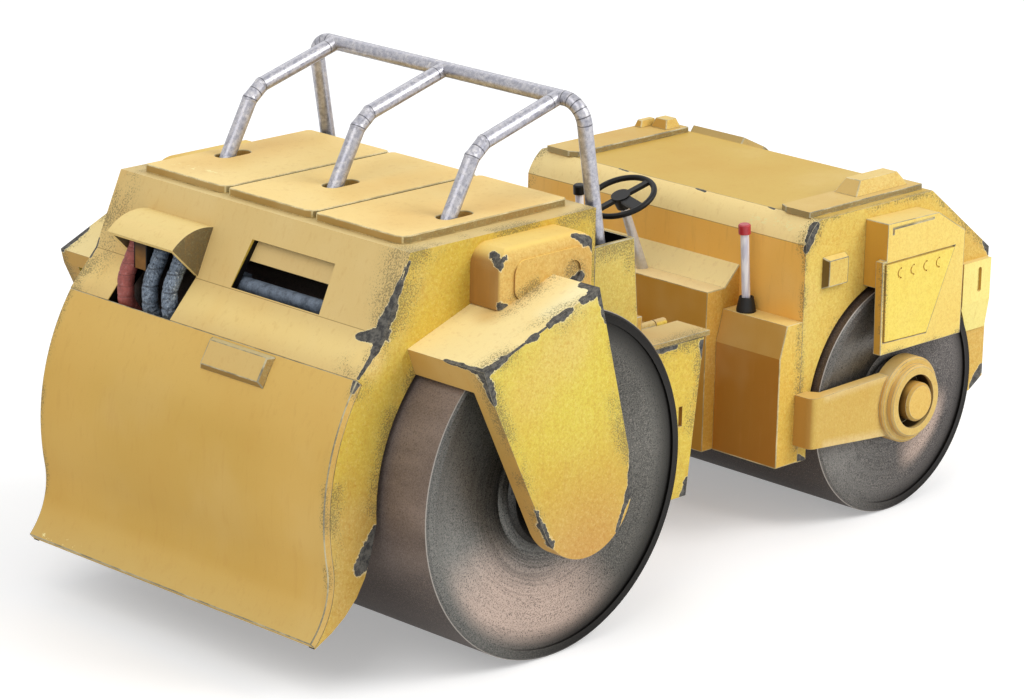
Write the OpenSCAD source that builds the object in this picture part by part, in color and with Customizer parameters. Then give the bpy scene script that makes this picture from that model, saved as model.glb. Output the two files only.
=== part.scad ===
// Toy road roller: an articulated tandem roller with a tall rear unit, a low
// front unit, two full-width drums, a tubular roll cage and a driver's station.
// X points forward, Y to the machine's left, Z up. The origin lies on the
// ground under the middle of the machine.

/* [Drums] */
// Radius of the big rear drum
rear_drum_r = 50; // [49:0.25:50.25]
// Width of the rear drum
rear_drum_w = 154; // [148:1:155]
// Radius of the small front drum
front_drum_r = 37; // [36:0.25:37.25]
// Width of the front drum
front_drum_w = 121; // [118:0.5:121]
// Distance between the two drum axles
wheelbase = 167.2; // [166:0.2:168]

/* [Rear unit] */
// Width over the side walls of the rear unit
rear_w = 119; // [118:0.5:120]
// Height of the rear unit's roof deck
roof_z = 120; // [119:0.5:123]
// Width over the outer faces of the two drum yokes
yoke_span = 177; // [176:0.5:180]
// Thickness of the sheet that the bodies are made of
sheet = 2.4; // [2:0.1:2.5]

/* [Front unit] */
// Width over the side walls of the front unit
front_w = 115.4; // [114:0.2:116]
// Height of the front unit's roof
hood_z = 98.6; // [98:0.2:100]

/* [Roll cage] */
// Outside diameter of the cage tube
tube_d = 4.4; // [3.8:0.1:4.6]
// Height of the cross bar's centre line
cage_z = 149.3; // [146:0.1:152]
// Distance between the centre lines of the hoop's legs
hoop_w = 109; // [104:0.5:109.5]

/* [Steering] */
// Radius of the steering wheel's rim
wheel_r = 10.3; // [8:0.1:10.5]
// Lean of the steering column from the vertical, in degrees
column_lean = 23.5; // [22:0.5:26]
// Distance of the articulation pin in front of the rear axle
pivot_x = 83.4; // [82:0.2:86]

/* [Hidden] */
$fn = 96;

// Fits
pin_fit = 0.05;   // radial clearance of a shaft in its bore
seam = 0.3;       // gap between pieces that move past each other
glue = 0.035;     // film under a plate that is glued to a curved face

// Rear unit, in the XZ plane with the rear axle at x = 0
rear_hw = rear_w / 2;
rear_axle = [0, rear_drum_r];
arch_gap = 2;
arch_r = rear_drum_r + arch_gap;
deck_front = 31.2;
roof_edge = [-40.5, roof_z];
upper_crease = [-50, 98.7];
lower_crease = [-59.5, 88.4];

// The apron's side view is two arcs: a bulge and the flare of its lip
bulge_c = [-5.6, 51];
bulge_r = norm(lower_crease - bulge_c);
bulge_end = 11.4;      // degrees below the bulge's centre where the flare begins
flare_r = 22.6;
flare_end = 44;
flare_c = bulge_c - (bulge_r + flare_r) * [cos(bulge_end), sin(bulge_end)];
lip = flare_c + flare_r * [cos(flare_end), -sin(flare_end)];

// Front unit
front_hw = front_w / 2;
hood_bend_r = 14;      // radius of the bent edge between rear face and roof
front_axle = [wheelbase, front_drum_r];
front_arch_r = front_drum_r + 1.5;
cab_x = 124.8;         // rear face of the front body
nose_x = 213.6;        // front face of the front body
skirt_z = 24;          // lower edge of the front body's rear end
bend_edge = [cab_x, hood_z - 7];
hood_rear = [cab_x + 6, hood_z];
hood_front = [183.8, hood_z];
brow = [nose_x, 75.6];
chin = [nose_x, 33.4];
chin_edge = [207.3, 29.6];

// The machine's middle, which becomes the origin
mid_x = (lip[0] + nose_x) / 2;

// Windows in the rear unit's sloping panels
vent_y = [-34, -0.6];
vent_flare = 2.4;          // the window widens by this towards its lower edge
vent_s = [8.5, 22.9];      // distances down the upper slope
hose_y = [16.3, 43];
slope_a = 90 + atan2(roof_edge[0] - upper_crease[0], roof_edge[1] - upper_crease[1]);

// Hose hood: an arc from the upper slope out to its lip
hood_c = [-47.8, 96.8];
hood_r = 16;
hood_back = roof_edge + 0.365 * (upper_crease - roof_edge);
hood_lip = [-59, 108.2];
hood_foot = roof_edge + 0.974 * (upper_crease - roof_edge);

// Hoses
hose_r = 2.5;
hose_x = -51.3;
hose_bow = 4.8;
hose_z = [80, 106.5];
hose_rows = [39, 28.6, 20.2];

// Hatches, three across the deck
hatch_x = [-37.2, 26.6];
hatch_hw = 53;
hatch_gap = 1.2;
hatch_t = 2.3;
hatch_w = (2 * hatch_hw - 2 * hatch_gap) / 3;
slot_x = -10.4;             // centre of the slot that a cage strut passes
slot_l = 12;
slot_w = 5.4;

// Roll cage
tube_r = tube_d / 2;
cage_lean = 10.5;          // degrees that the hoop leans back
cage_x = 29.8;
hoop_bend = 6.5;
strut_rows = [45.4, 0, -45.4];
strut_foot = [-13.4, roof_z];
strut_elbow = [-2.4, 140.2];

// Driver's tub
tub_z = 108.6;
tub_floor = 93.6;
tub_front = 47.4;
tub_toe = [49.8, 84];
tub_wall = 1.4;

// Yoke that carries the rear drum on either side
yoke_t = 6.5;
yoke_y = yoke_span / 2;
yoke_tip_r = 18;
yoke_tail = [-41.2, 93.4];
yoke_tail_left = [-39.4, 90.2];
yoke_nose = [2.5, 108.6];
yoke_heel = [-38.2, 85.8];
yoke_toe = [4.4, 101.3];
axle_r = 4;

// Side tank
tank_x = [-18, 19.2];
tank_y = rear_hw + 11;
tank_z = [102, 118.3];

// Rear frame, step boxes and seat
frame_x = [50.9, 53.3];
frame_hw = rear_hw - tub_wall;
frame_z = [26, 84];
box_y = [44, 59.6];
box_top = 73.2;
box_bottom = 26;
box_front = [78.4, 72.7];  // at the top and at the bottom
box_wall = 1.6;
lid_t = 1.5;
hinge_r = 1.4;
hinge_pin_r = 0.6;
hinge_z = box_top + seam + hinge_r;
hinge_y = box_y[0] + hinge_r;
knuckle = [[55.5, 60], [60.3, 71.7], [72, 76.5]];

// Hitch
pivot_z = [40, 52];
clevis_t = 4.5;
clevis_gap = 0.4;
hitch_r = 9;
hitch_pin_r = 3;

// Consoles on the rear face of the front body
console_x = 110.6;
console_hw = 32;
console_top = 74.4;
side_console_x = 115;
side_top = 68.1;

// Steering column and wheel
column_foot = [116.3, console_top];
column_l = 24.3;
column_r = [1.85, 1.35];
rim_r = 0.9;

// Levers
lever_spots = [[120.9, -38.5, side_top], [115.4, 25, console_top]];
lever_l = [22.4, 16.7];    // from the pivot to the cap
lever_r = 1.3;
lever_lean = 5;            // degrees that the levers lean back
knuckle_r = 1.6;           // barrel at a lever's foot
knuckle_hw = 1.5;
lever_pin_r = 0.7;
lever_pivot = 2.2;         // height of the pivot in its boot
boot_r = [3, 2.2];
boot_h = 4.6;
cap_r = 1.9;
cap_h = 3;

// Front body details
strip_y = [42, 54.5];
strip_x = [129.7, 182.6];
strip_t = 1.8;
shield_y = front_hw + 8.8;
shield_t = 2.8;
arm_y = [61.2, 64.9];
arm_z = [[30, 45.9], [26.2, 46.6]];   // at the bracket and at the axle
ring_y = [66.4, 68.5];
ring_r = [13.5, 11.4];
ring_hole_r = 8.4;
ring_floor = 62.8;
hub_cap_r = 6.1;
hub_cap_y = 70.2;

// Colours
yellow = "#e0b54c";
ochre = "#c98f35";
steel = "#8a8580";
silver = "#b9bcc4";
dark = "#2b2b2d";

// ---------- helpers ----------

// Moves the rear axle's frame to the machine's origin
module place() translate([-mid_x, 0, 0]) children();

// Extrudes a side-view outline (x, z) from y0 to y1
module across(y0, y1) translate([0, y1, 0]) rotate([90, 0, 0]) linear_extrude(y1 - y0) children();

// The part on the machine's right, mirrored from the left
module right() mirror([0, 1, 0]) children();

module both() {
    children();
    right() children();
}

// A point of a side view as a 3-D point
function at(p, y) = [p[0], y, p[1]];

// Unit normal on the right-hand side of the way from p to q
function right_normal(p, q) = let (d = q - p) [d[1], -d[0]] / norm(d);

// Where the tangent from p touches a circle; side is 1 or -1
function tangent(p, c, r, side) =
    let (d = c - p, len = norm(d), a = side * asin(r / len), m = sqrt(len * len - r * r))
    p + m / len * [d[0] * cos(a) - d[1] * sin(a), d[0] * sin(a) + d[1] * cos(a)];

// Sheet of thickness t on the right-hand side of the line from p to q
module sheet_2d(p, q, t = sheet) {
    n = t * right_normal(p, q);
    polygon([p, q, q + n, p + n]);
}

// Turns a profile of [radius, y] points about a cross axle through c
module turned(c, profile) translate([c[0], 0, c[1]]) rotate([-90, 0, 0]) rotate_extrude() polygon(profile);

// Cylinder along Y between y0 and y1
module cross_rod(c, r, y0, y1) translate([c[0], y0, c[1]]) rotate([-90, 0, 0]) cylinder(r = r, h = y1 - y0);

// Round bar from p to q
module bar(p, q, r) {
    d = q - p;
    translate(p) rotate([0, acos(d[2] / norm(d)), atan2(d[1], d[0])]) cylinder(r = r, h = norm(d));
}

// Rectangle with its corners rounded, from lo to hi
module round_rect(lo, hi, r) {
    translate([lo[0] + r, lo[1]]) square([hi[0] - lo[0] - 2 * r, hi[1] - lo[1]]);
    translate([lo[0], lo[1] + r]) square([hi[0] - lo[0], hi[1] - lo[1] - 2 * r]);
    for (x = [lo[0] + r, hi[0] - r], y = [lo[1] + r, hi[1] - r]) translate([x, y]) circle(r);
}

// Plate with bevelled edges that faces +Z: w by d at the base, smaller by b at the top
module bevelled_plate(w, d, h, b) {
    polyhedron(
        points = [[0, 0, 0], [w, 0, 0], [w, d, 0], [0, d, 0],
            [b, b, h], [w - b, b, h], [w - b, d - b, h], [b, d - b, h]],
        faces = [[0, 1, 2, 3], [4, 7, 6, 5], [0, 4, 5, 1], [1, 5, 6, 2], [2, 6, 7, 3], [3, 7, 4, 0]]);
}

// Frame of the upper slope: x runs down the slope, z goes inward through the sheet
module on_slope() translate(at(roof_edge, 0)) rotate([0, slope_a, 0]) children();

// ---------- rear unit ----------

module wedge_2d(c, r, a0, a1) {
    polygon(concat([c], [for (i = [0:4]) let (a = a0 + (a1 - a0) * i / 4) c + r * [cos(a), sin(a)]]));
}

module ring_2d(c, r0, r1) translate(c) difference() {
    circle(r1);
    circle(r0);
}

// Centre of the arc of radius r that bulges to the left of the way from p to q
function arc_centre(p, q, r) = (p + q) / 2
    + sqrt(r * r - (q - p) * (q - p) / 4) * right_normal(p, q);

// Area between the line from p to q and its bulging arc
module bulge_2d(p, q, r) {
    n = right_normal(p, q);
    intersection() {
        translate(arc_centre(p, q, r)) circle(r);
        polygon([p, p - r * n, q - r * n, q]);
    }
}

// Side view of the apron's sheet
module apron_2d() {
    n = right_normal(lower_crease, upper_crease);
    intersection() {
        ring_2d(bulge_c, bulge_r - sheet, bulge_r);
        polygon([lower_crease - 8 * n, lower_crease + 20 * n, bulge_c,
            bulge_c - 90 * [cos(bulge_end), sin(bulge_end)], [-100, 60]]);
    }
    intersection() {
        ring_2d(flare_c, flare_r, flare_r + sheet);
        wedge_2d(flare_c, 40, bulge_end, -flare_end);
    }
}

module rear_apron() color(yellow) place() across(-rear_hw, rear_hw) apron_2d();

// Lower edge of the side wall, from the drum arch to the apron's lip
wall_hem = [[-51.4, 52], [-51.8, 46.5], [-53.9, 37.5], [-56, 31.8], [-59, 26.9], [-63.2, 22.6],
    [-68, 19.2], [-74.3, 16]];

// Side view of the rear unit's side wall, inside the apron and round the drum
module rear_wall_2d() {
    difference() {
        union() {
            polygon([lower_crease, upper_crease, roof_edge, [deck_front, roof_z], [deck_front, 60], [-40, 60],
                lower_crease + 20 * right_normal(lower_crease, upper_crease)]);
            intersection() {
                union() {
                    translate(bulge_c) circle(bulge_r - sheet);
                    polygon([[-67.4, 38.6], [-74.2, 16], [-50, 16], [-50, 38.6]]);
                }
                polygon([lower_crease + 20 * right_normal(lower_crease, upper_crease), lower_crease,
                    [-80, 80], [-80, 10], [-40, 10], [-40, 60]]);
            }
        }
        translate(rear_axle) circle(arch_r);
        polygon(concat(wall_hem, [[-74.3, 0], [60, 0], [60, 90], [0, 90]]));
        translate(flare_c) circle(flare_r + sheet);
    }
}

module rear_panels_2d() {
    sheet_2d(lower_crease, upper_crease);
    sheet_2d(upper_crease, roof_edge);
    polygon([upper_crease, upper_crease + sheet * right_normal(upper_crease, roof_edge),
        upper_crease + sheet * right_normal(lower_crease, upper_crease)]);
    sheet_2d(roof_edge, [deck_front, roof_z]);
    sheet_2d([deck_front, roof_z], [deck_front, tub_floor - tub_wall]);
}

module rear_shell() color(yellow) place() difference() {
    union() {
        across(-rear_hw, rear_hw) rear_panels_2d();
        both() across(rear_hw - sheet, rear_hw) rear_wall_2d();
    }
    on_slope() translate([0, 0, -1]) linear_extrude(sheet + 2)
        polygon([[vent_s[0], vent_y[0]], [vent_s[1], vent_y[0]], [vent_s[1], vent_y[1] + vent_flare],
            [vent_s[0], vent_y[1]]]);
    across(hose_y[0], hose_y[1])
        polygon([lower_crease + [-2, -2.2], hood_foot + [-4, 2], hood_back + [-3, -1.5], [-36, 104],
            lower_crease + [12, -11]]);
}

// One of the three deck plates, between y0 and y1, with its strut's slot
module hatch(row) color(yellow) place() {
    y0 = hatch_hw - row * (hatch_w + hatch_gap) - hatch_w;
    y1 = y0 + hatch_w;
    c = 3;
    translate([0, 0, roof_z]) linear_extrude(hatch_t) difference() {
        polygon([[hatch_x[0] + c, y0], [hatch_x[1] - 1, y0], [hatch_x[1], y0 + 1],
            [hatch_x[1], y1 - 1], [hatch_x[1] - 1, y1], [hatch_x[0] + 0.6, y1], [hatch_x[0], y1 - 0.6],
            [hatch_x[0], y0 + c], [hatch_x[0] + 0.9, y0 + 0.9]]);
        translate([slot_x, strut_rows[row]]) {
            square([slot_l - slot_w, slot_w], center = true);
            for (s = [-1, 1]) translate([s * (slot_l - slot_w) / 2, 0]) circle(slot_w / 2);
        }
    }
}

module hatch_left() hatch(0);
module hatch_middle() hatch(1);
module hatch_right() hatch(2);

// Side view inside the hood's arc
module hood_2d() intersection() {
    translate(hood_c) circle(hood_r);
    polygon([hood_back, hood_back + [0, 8], hood_lip + [-4, 5], hood_lip, hood_foot]);
}

module hose_hood() color(yellow) place() difference() {
    across(hose_y[0] - 0.6, hose_y[1] + 0.6) hood_2d();
    across(hose_y[0] + 1, hose_y[1] - 1) intersection() {
        translate(hood_c) circle(hood_r - 1.6);
        translate([-90, 80]) square([60, 60]);
    }
}

// Centre line of a hose at its share t of the height, and its rings
function hose_point(t) = [hose_x - hose_bow * pow(sin(180 * t), 2), hose_z[0] + (hose_z[1] - hose_z[0]) * t];

module hose(y) {
    sides = 12;
    steps = 16;
    rings = [for (i = [0:steps]) let (
            t = i / steps, p = hose_point(t),
            d = hose_point(min(1, t + 0.01)) - hose_point(max(0, t - 0.01)),
            flat_end = i == 0 || i == steps, n = flat_end ? [1, 0] : [d[1], -d[0]] / norm(d))
        [for (k = [0:sides - 1]) let (a = 360 * k / sides)
            [p[0] + hose_r * cos(a) * n[0], y + hose_r * sin(a), p[1] + hose_r * cos(a) * n[1]]]];
    points = [for (ring = rings) each ring];
    walls = [for (i = [0:steps - 1], k = [0:sides - 1]) let (j = (k + 1) % sides)
        [i * sides + k, (i + 1) * sides + k, (i + 1) * sides + j, i * sides + j]];
    polyhedron(points, concat([[for (k = [0:sides - 1]) k]],
        [[for (k = [sides - 1:-1:0]) steps * sides + k]], walls));
}

module hose_red() color("#8c4a44") place() hose(hose_rows[0]);
module hoses_grey() color("#5c6570") place() for (i = [1, 2]) hose(hose_rows[i]);

// Lower manifold that seats on the apron, and the header under the hood with its spacer
module hose_manifold() color(dark) place() {
    across(17.6, 43.6) intersection() {
        translate([-70, hose_z[0] - 7]) square([23.4, 7]);
        translate(bulge_c) circle(bulge_r - sheet);
    }
    across(hose_y[0] + 1, hose_y[1] - 1) intersection() {
        translate([-55.6, hose_z[1]]) square([8.4, 2.4]);
        translate(hood_c) circle(hood_r - 1.6);
    }
    spacer = hose_rows[0] - hose_rows[1] - 2 * hose_r;
    translate([-55.2, hose_rows[1] + hose_r, hose_z[1] - 8]) cube([2.6, spacer, 8.4]);
}

module vent_flap() color(yellow) place() on_slope()
    translate([vent_s[0] - 3, vent_y[0] - 3, sheet]) cube([8.8, vent_y[1] - vent_y[0] + 6, 1.2]);

module vent_tube() color("#6d727a") place() on_slope() {
    depth = sheet + 2.4;
    translate([20.9, vent_y[0] - 4, depth]) rotate([-90, 0, 0]) cylinder(r = 2.2, h = vent_y[1] - vent_y[0] + 8);
    for (y = [vent_y[0] - 5.5, vent_y[1] + 4]) translate([17.6, y, sheet]) cube([5.2, 1.5, 5.6]);
}

module apron_plate() color(yellow) place() difference() {
    translate(at(bulge_c, -28.2)) rotate([0, -60, 0]) translate([-4.75, 0, bulge_r - 0.18])
        bevelled_plate(9.5, 26, 2, 1.3);
    across(-40, 0) translate(bulge_c) circle(bulge_r + glue);
}

// The roll cage: a leaning hoop with bent corners and three braces with lobster-back elbows
module hoop_frame() translate([cage_x, 0, cage_z]) rotate([0, -cage_lean, 0]) children();

function hoop_leg() = (cage_z - tub_floor) / cos(cage_lean);

module roll_hoop() color(silver) place() {
    hoop_frame() {
        bar([0, hoop_bend - hoop_w / 2, 0], [0, hoop_w / 2 - hoop_bend, 0], tube_r);
        both() {
            translate([0, hoop_w / 2 - hoop_bend, -hoop_bend]) rotate([0, -90, 0])
                rotate_extrude(angle = 90) translate([hoop_bend, 0]) circle(tube_r, $fn = 32);
            translate([0, hoop_w / 2, -hoop_leg() + 1.2]) cylinder(r = tube_r, h = hoop_leg() - hoop_bend - 1.2);
        }
    }
    both() translate([cage_x + (cage_z - tub_floor) * tan(cage_lean), hoop_w / 2, tub_floor])
        cylinder(r = 3.3, h = 1.8);
}

module cage_strut(row) color(silver) place() difference() {
    y = strut_rows[row];
    bend = 3.2;
    up = (strut_elbow - strut_foot) / norm(strut_elbow - strut_foot);
    out = ([cage_x, cage_z] - strut_elbow) / norm([cage_x, cage_z] - strut_elbow);
    a = strut_elbow - bend * up;
    b = strut_elbow + bend * out;
    union() {
        bar(at(strut_foot - 4 * up, y), at(a, y), tube_r);
        bar(at(a, y), at(b, y), tube_r);
        bar(at(b, y), at([cage_x, cage_z], y), tube_r);
        translate(at(a, y)) sphere(tube_r * 1.04);
        translate(at(b, y)) sphere(tube_r * 1.04);
    }
    translate([-40, y - 10, roof_z - 20]) cube([60, 20, 20]);
    cross_rod([cage_x, cage_z], tube_r, y - 10, y + 10);
}

module cage_strut_left() cage_strut(0);
module cage_strut_middle() cage_strut(1);
module cage_strut_right() cage_strut(2);

// Side views of the yoke: the slab over the drum and the arm down to the axle
module yoke_slab_2d(tail) difference() {
    polygon([tail, yoke_nose, yoke_toe, yoke_toe - [8, 8], yoke_heel]);
    translate(rear_axle) circle(rear_drum_r + 1.5);
}

module yoke_arm_2d(tail) {
    front = tangent(yoke_nose, rear_axle, yoke_tip_r, 1);
    back = tangent(yoke_heel, rear_axle, yoke_tip_r, -1);
    polygon([tail, yoke_nose, front, rear_axle, back, yoke_heel]);
    translate(rear_axle) circle(yoke_tip_r);
}

module yoke(tail) place() difference() {
    union() {
        across(rear_hw, yoke_y) yoke_slab_2d(tail);
        across(yoke_y - yoke_t, yoke_y) yoke_arm_2d(tail);
        cross_rod(rear_axle, 8, yoke_y - yoke_t - 3.2, yoke_y - yoke_t + 1);
    }
    cross_rod(rear_axle, axle_r, yoke_y - yoke_t - 4, yoke_y - 2);
}

module yoke_left() color(yellow) yoke(yoke_tail_left);
module yoke_right() color(yellow) right() yoke(yoke_tail);

module side_tank() place() difference() {
    union() {
        intersection() {
            across(rear_hw, tank_y) round_rect([tank_x[0], tank_z[0] - 8], [tank_x[1], tank_z[1]], 6);
            translate([0, 0, tank_z[0]]) linear_extrude(30)
                round_rect([tank_x[0], rear_hw - 8], [tank_x[1], tank_y], 1.6);
            translate([tank_x[0], 0, 0]) rotate([90, 0, 90]) linear_extrude(40)
                round_rect([rear_hw - 10, tank_z[0] - 10], [tank_y, tank_z[1]], 3.6);
            translate([tank_x[0], rear_hw, tank_z[0]]) cube([40, 20, 30]);
        }
        across(tank_y - 1, tank_y + 0.5) round_rect([-12.2, 103.2], [15.4, 114.6], 4);
    }
    across(rear_hw - 1, tank_y + 2) polygon([yoke_tail, yoke_nose, yoke_toe, [yoke_toe[0], 90], yoke_heel]);
    cross_rod([10.4, 108], 3.1, tank_y - 0.1, tank_y + 2);
}

module side_tank_left() color(yellow) side_tank();
module side_tank_right() color(yellow) right() side_tank();

// The open tub behind the driver, which closes the rear unit's front
module cockpit_tub() color(yellow) place() {
    top = [tub_front, tub_z];
    difference() {
        union() {
            both() across(rear_hw - tub_wall, rear_hw)
                polygon([[deck_front, tub_z], top, tub_toe, [tub_toe[0], 70], [deck_front, 70]]);
            across(-rear_hw, rear_hw) polygon([[top[0] - tub_wall, tub_z], top, tub_toe,
                tub_toe - [tub_wall, 0]]);
            across(-rear_hw, rear_hw) translate([deck_front, tub_floor - tub_wall])
                square([tub_front - deck_front + 0.5, tub_wall]);
        }
        across(-rear_hw - 1, rear_hw + 1) translate(rear_axle) circle(arch_r);
    }
}

// Frame plate in front of the drum, with the tongue to the articulation pin
module rear_frame() color(ochre) place() difference() {
    union() {
        translate([frame_x[0], -frame_hw, frame_z[0]])
            cube([frame_x[1] - frame_x[0], 2 * frame_hw, frame_z[1] - frame_z[0]]);
        translate([tub_toe[0] - tub_wall, -frame_hw, frame_z[1] - 2])
            cube([frame_x[1] - tub_toe[0] + tub_wall, 2 * frame_hw, 2]);
        translate([frame_x[0], -40, frame_z[0]]) cube([7, 80, sheet]);
        translate([frame_x[1] - 0.1, -hitch_r, pivot_z[0]])
            cube([pivot_x - frame_x[1] + 0.1, 2 * hitch_r, pivot_z[1] - pivot_z[0]]);
        translate([pivot_x, 0, pivot_z[0]]) cylinder(r = hitch_r, h = pivot_z[1] - pivot_z[0]);
        for (y = [-hitch_r, hitch_r - 2.4]) across(y, y + 2.4)
            polygon([[frame_x[0], pivot_z[0] - 12], [frame_x[1] + 1, pivot_z[0] - 12], [69, pivot_z[0]],
                [69, pivot_z[1]], [frame_x[1] + 1, pivot_z[1] + 8], [frame_x[0], pivot_z[1] + 8]]);
    }
    translate([pivot_x, 0, pivot_z[0] - 1]) cylinder(r = hitch_pin_r + pin_fit, h = pivot_z[1] - pivot_z[0] + 2);
}

module step_box() place() difference() {
    union() {
        across(box_y[0], box_y[1]) polygon([[frame_x[1], box_bottom + 6], [frame_x[1], box_top],
            [box_front[0], box_top], [box_front[1], box_bottom], [frame_x[1] + 4, box_bottom]]);
        for (k = [knuckle[0], knuckle[2]]) translate([k[0], hinge_y, hinge_z]) rotate([0, 90, 0])
            cylinder(r = hinge_r, h = k[1] - k[0]);
        for (k = [knuckle[0], knuckle[2]]) translate([k[0], hinge_y - hinge_r, box_top - 1])
            cube([k[1] - k[0], hinge_r, 1 + seam + hinge_r]);
    }
    across(box_y[0] + box_wall, box_y[1] - box_wall) polygon([
        [frame_x[1] + box_wall, box_bottom + 8], [frame_x[1] + box_wall, box_top + 1],
        [box_front[0] - box_wall, box_top + 1], [box_front[1] - box_wall, box_bottom + box_wall],
        [frame_x[1] + 6, box_bottom + box_wall]]);
    translate([knuckle[0][0] - 1, hinge_y, hinge_z]) rotate([0, 90, 0]) cylinder(r = hinge_pin_r, h = 30);
    translate([68.4, box_y[1] - 1.2, 47.8]) cube([1.6, 2, 6]);
}

module step_box_left() color(yellow) step_box();
module step_box_right() color(yellow) right() step_box();

module step_lid() place() difference() {
    union() {
        translate([frame_x[1] + 1.2, hinge_y, box_top + seam]) linear_extrude(lid_t)
            polygon([[0, 0], [box_front[0] + 0.8 - frame_x[1], 0], [box_front[0] + 0.8 - frame_x[1], 14.6],
                [box_front[0] - frame_x[1], box_y[1] + 0.4 - hinge_y], [0, box_y[1] + 0.4 - hinge_y]]);
        translate([knuckle[1][0], hinge_y, hinge_z]) rotate([0, 90, 0])
            cylinder(r = hinge_r, h = knuckle[1][1] - knuckle[1][0]);
    }
    for (k = [[knuckle[0][0] - 2, knuckle[0][1] + seam], [knuckle[2][0] - seam, knuckle[2][1] + 4]])
        translate([k[0], hinge_y, hinge_z]) rotate([0, 90, 0]) cylinder(r = hinge_r + seam, h = k[1] - k[0]);
    translate([knuckle[1][0] - 1, hinge_y, hinge_z]) rotate([0, 90, 0])
        cylinder(r = hinge_pin_r + pin_fit, h = 14);
}

module step_lid_left() color(yellow) step_lid();
module step_lid_right() color(yellow) right() step_lid();

module lid_hinge_pins() color(silver) place() both()
    translate([knuckle[0][0], hinge_y, hinge_z]) rotate([0, 90, 0])
        cylinder(r = hinge_pin_r, h = knuckle[2][1] - knuckle[0][0]);

// The driver's seat on the frame plate, between the step boxes
module seat_base() color(dark) place() {
    translate([frame_x[1], -15, 63]) cube([18, 30, 3]);
    across(-19, 19) polygon([[frame_x[1], 66], [frame_x[1] + 23, 66], [frame_x[1] + 23, 67.6],
        [frame_x[1] + 2.2, 67.6], [frame_x[1] + 2.2, 91], [frame_x[1], 92]]);
}

module seat_cushions() color(dark) place() {
    translate([frame_x[1] + 6.4, 0, 67.6]) linear_extrude(4.4) round_rect([0, -17], [15.6, 17], 3);
    translate([frame_x[1] + 2.2, 0, 0]) rotate([90, 0, 90]) linear_extrude(4) round_rect([-17, 69.5], [17, 92.5], 3);
}

module rear_axle() color(steel) place() cross_rod(rear_axle, axle_r, 2.2 - yoke_y, yoke_y - 2.2);

// ---------- drums ----------

module drum_shell(c, r, hw, wall, edge) turned(c, [[r - wall, -hw], [r - edge, -hw], [r, edge - hw],
    [r, hw - edge], [r - edge, hw], [r - wall, hw]]);

module rear_drum_shell() color(steel) place() drum_shell(rear_axle, rear_drum_r, rear_drum_w / 2, 3, 0.8);

// Dished end plate with its hub boss
module rear_drum_end() {
    hw = rear_drum_w / 2;
    turned(rear_axle, [[rear_drum_r - 3, hw - 0.6], [20.2, hw - 3], [17.4, hw - 2], [16.4, hw],
        [6, hw], [6, hw - 17], [9, hw - 17], [9, hw - 7], [20, hw - 5.6], [rear_drum_r - 3, hw - 3.4]]);
}

module rear_drum_ends() color(steel) place() both() rear_drum_end();

module rear_drum_bushes() color("#b08d57") place() both() {
    hw = rear_drum_w / 2;
    turned(rear_axle, [[axle_r + pin_fit, hw - 17], [6, hw - 17], [6, hw], [7.6, hw], [7.6, hw + 1],
        [axle_r + pin_fit, hw + 1]]);
}

module front_drum_shell() color(steel) place() drum_shell(front_axle, front_drum_r, front_drum_w / 2, 3, 0.8);

// The front drum's end plates turn on the axle in plain bores
module front_drum_ends() color(steel) place() both() {
    hw = front_drum_w / 2;
    turned(front_axle, [[front_drum_r - 3, hw - 0.6], [14.5, hw - 2.2], [12.5, hw - 1.4], [11.8, hw + 0.3],
        [axle_r + pin_fit, hw + 0.3], [axle_r + pin_fit, hw - 14], [8, hw - 14], [8, hw - 6], [14.5, hw - 4.8],
        [front_drum_r - 3, hw - 3.2]]);
}

// ---------- front unit ----------

function hood_path() = [[cab_x, skirt_z], bend_edge, hood_rear, hood_front, brow, chin, chin_edge];

module front_wall_2d() difference() {
    union() {
        polygon(concat(hood_path(), [[front_axle[0], chin_edge[1]], [front_axle[0] - 30, skirt_z]]));
        bulge_2d(bend_edge, hood_rear, hood_bend_r);
    }
    translate(front_axle) circle(front_arch_r);
    translate([front_axle[0] - front_arch_r, 0]) square([2 * front_arch_r, front_axle[1]]);
}

module front_shell() color(yellow) place() {
    path = hood_path();
    across(-front_hw, front_hw) {
        for (i = [0:len(path) - 2]) sheet_2d(path[i], path[i + 1]);
        bulge_2d(bend_edge, hood_rear, hood_bend_r);
    }
    both() across(front_hw - sheet, front_hw) front_wall_2d();
}

module roof_strip() translate([0, 0, hood_z]) linear_extrude(strip_t)
    polygon([[strip_x[0] + 1.6, strip_y[0]], [strip_x[1], strip_y[0]], [strip_x[1], strip_y[1]],
        [strip_x[0], strip_y[1]], [strip_x[0], strip_y[0] + 3]]);

module roof_strips() color(yellow) place() both() roof_strip();

// Lofted block on a roof strip
module loft_block(x0, x1, y0, y1, h, ends, sides) translate([x0, y0, hood_z + strip_t]) {
    w = x1 - x0;
    d = y1 - y0;
    polyhedron(
        points = [[0, 0, 0], [w, 0, 0], [w, d, 0], [0, d, 0],
            [ends, sides, h], [w - ends, sides, h], [w - ends, d - sides, h], [ends, d - sides, h]],
        faces = [[0, 1, 2, 3], [4, 7, 6, 5], [0, 4, 5, 1], [1, 5, 6, 2], [2, 6, 7, 3], [3, 7, 4, 0]]);
}

module strip_blocks() color(yellow) place() {
    loft_block(154, 178.8, -52, -43.2, 4.3, 3.6, 1.6);
    loft_block(173.5, 180.5, 43.6, 50.4, 3, 1.2, 1);
    loft_block(169.5, 177.5, 51, 54, 2.2, 1, 0.5);
}

// Plate on the nose slope whose rear edge stands above the roof
module nose_hatch() color(steel) place() {
    a = atan2(hood_front[1] - brow[1], brow[0] - hood_front[0]);
    translate(at(hood_front, 0)) rotate([0, a, 0]) translate([0.6, 0, 0]) linear_extrude(2.6)
        polygon([[0, 21], [0, 43], [24, 43], [24, 15], [4, 15]]);
}

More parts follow.
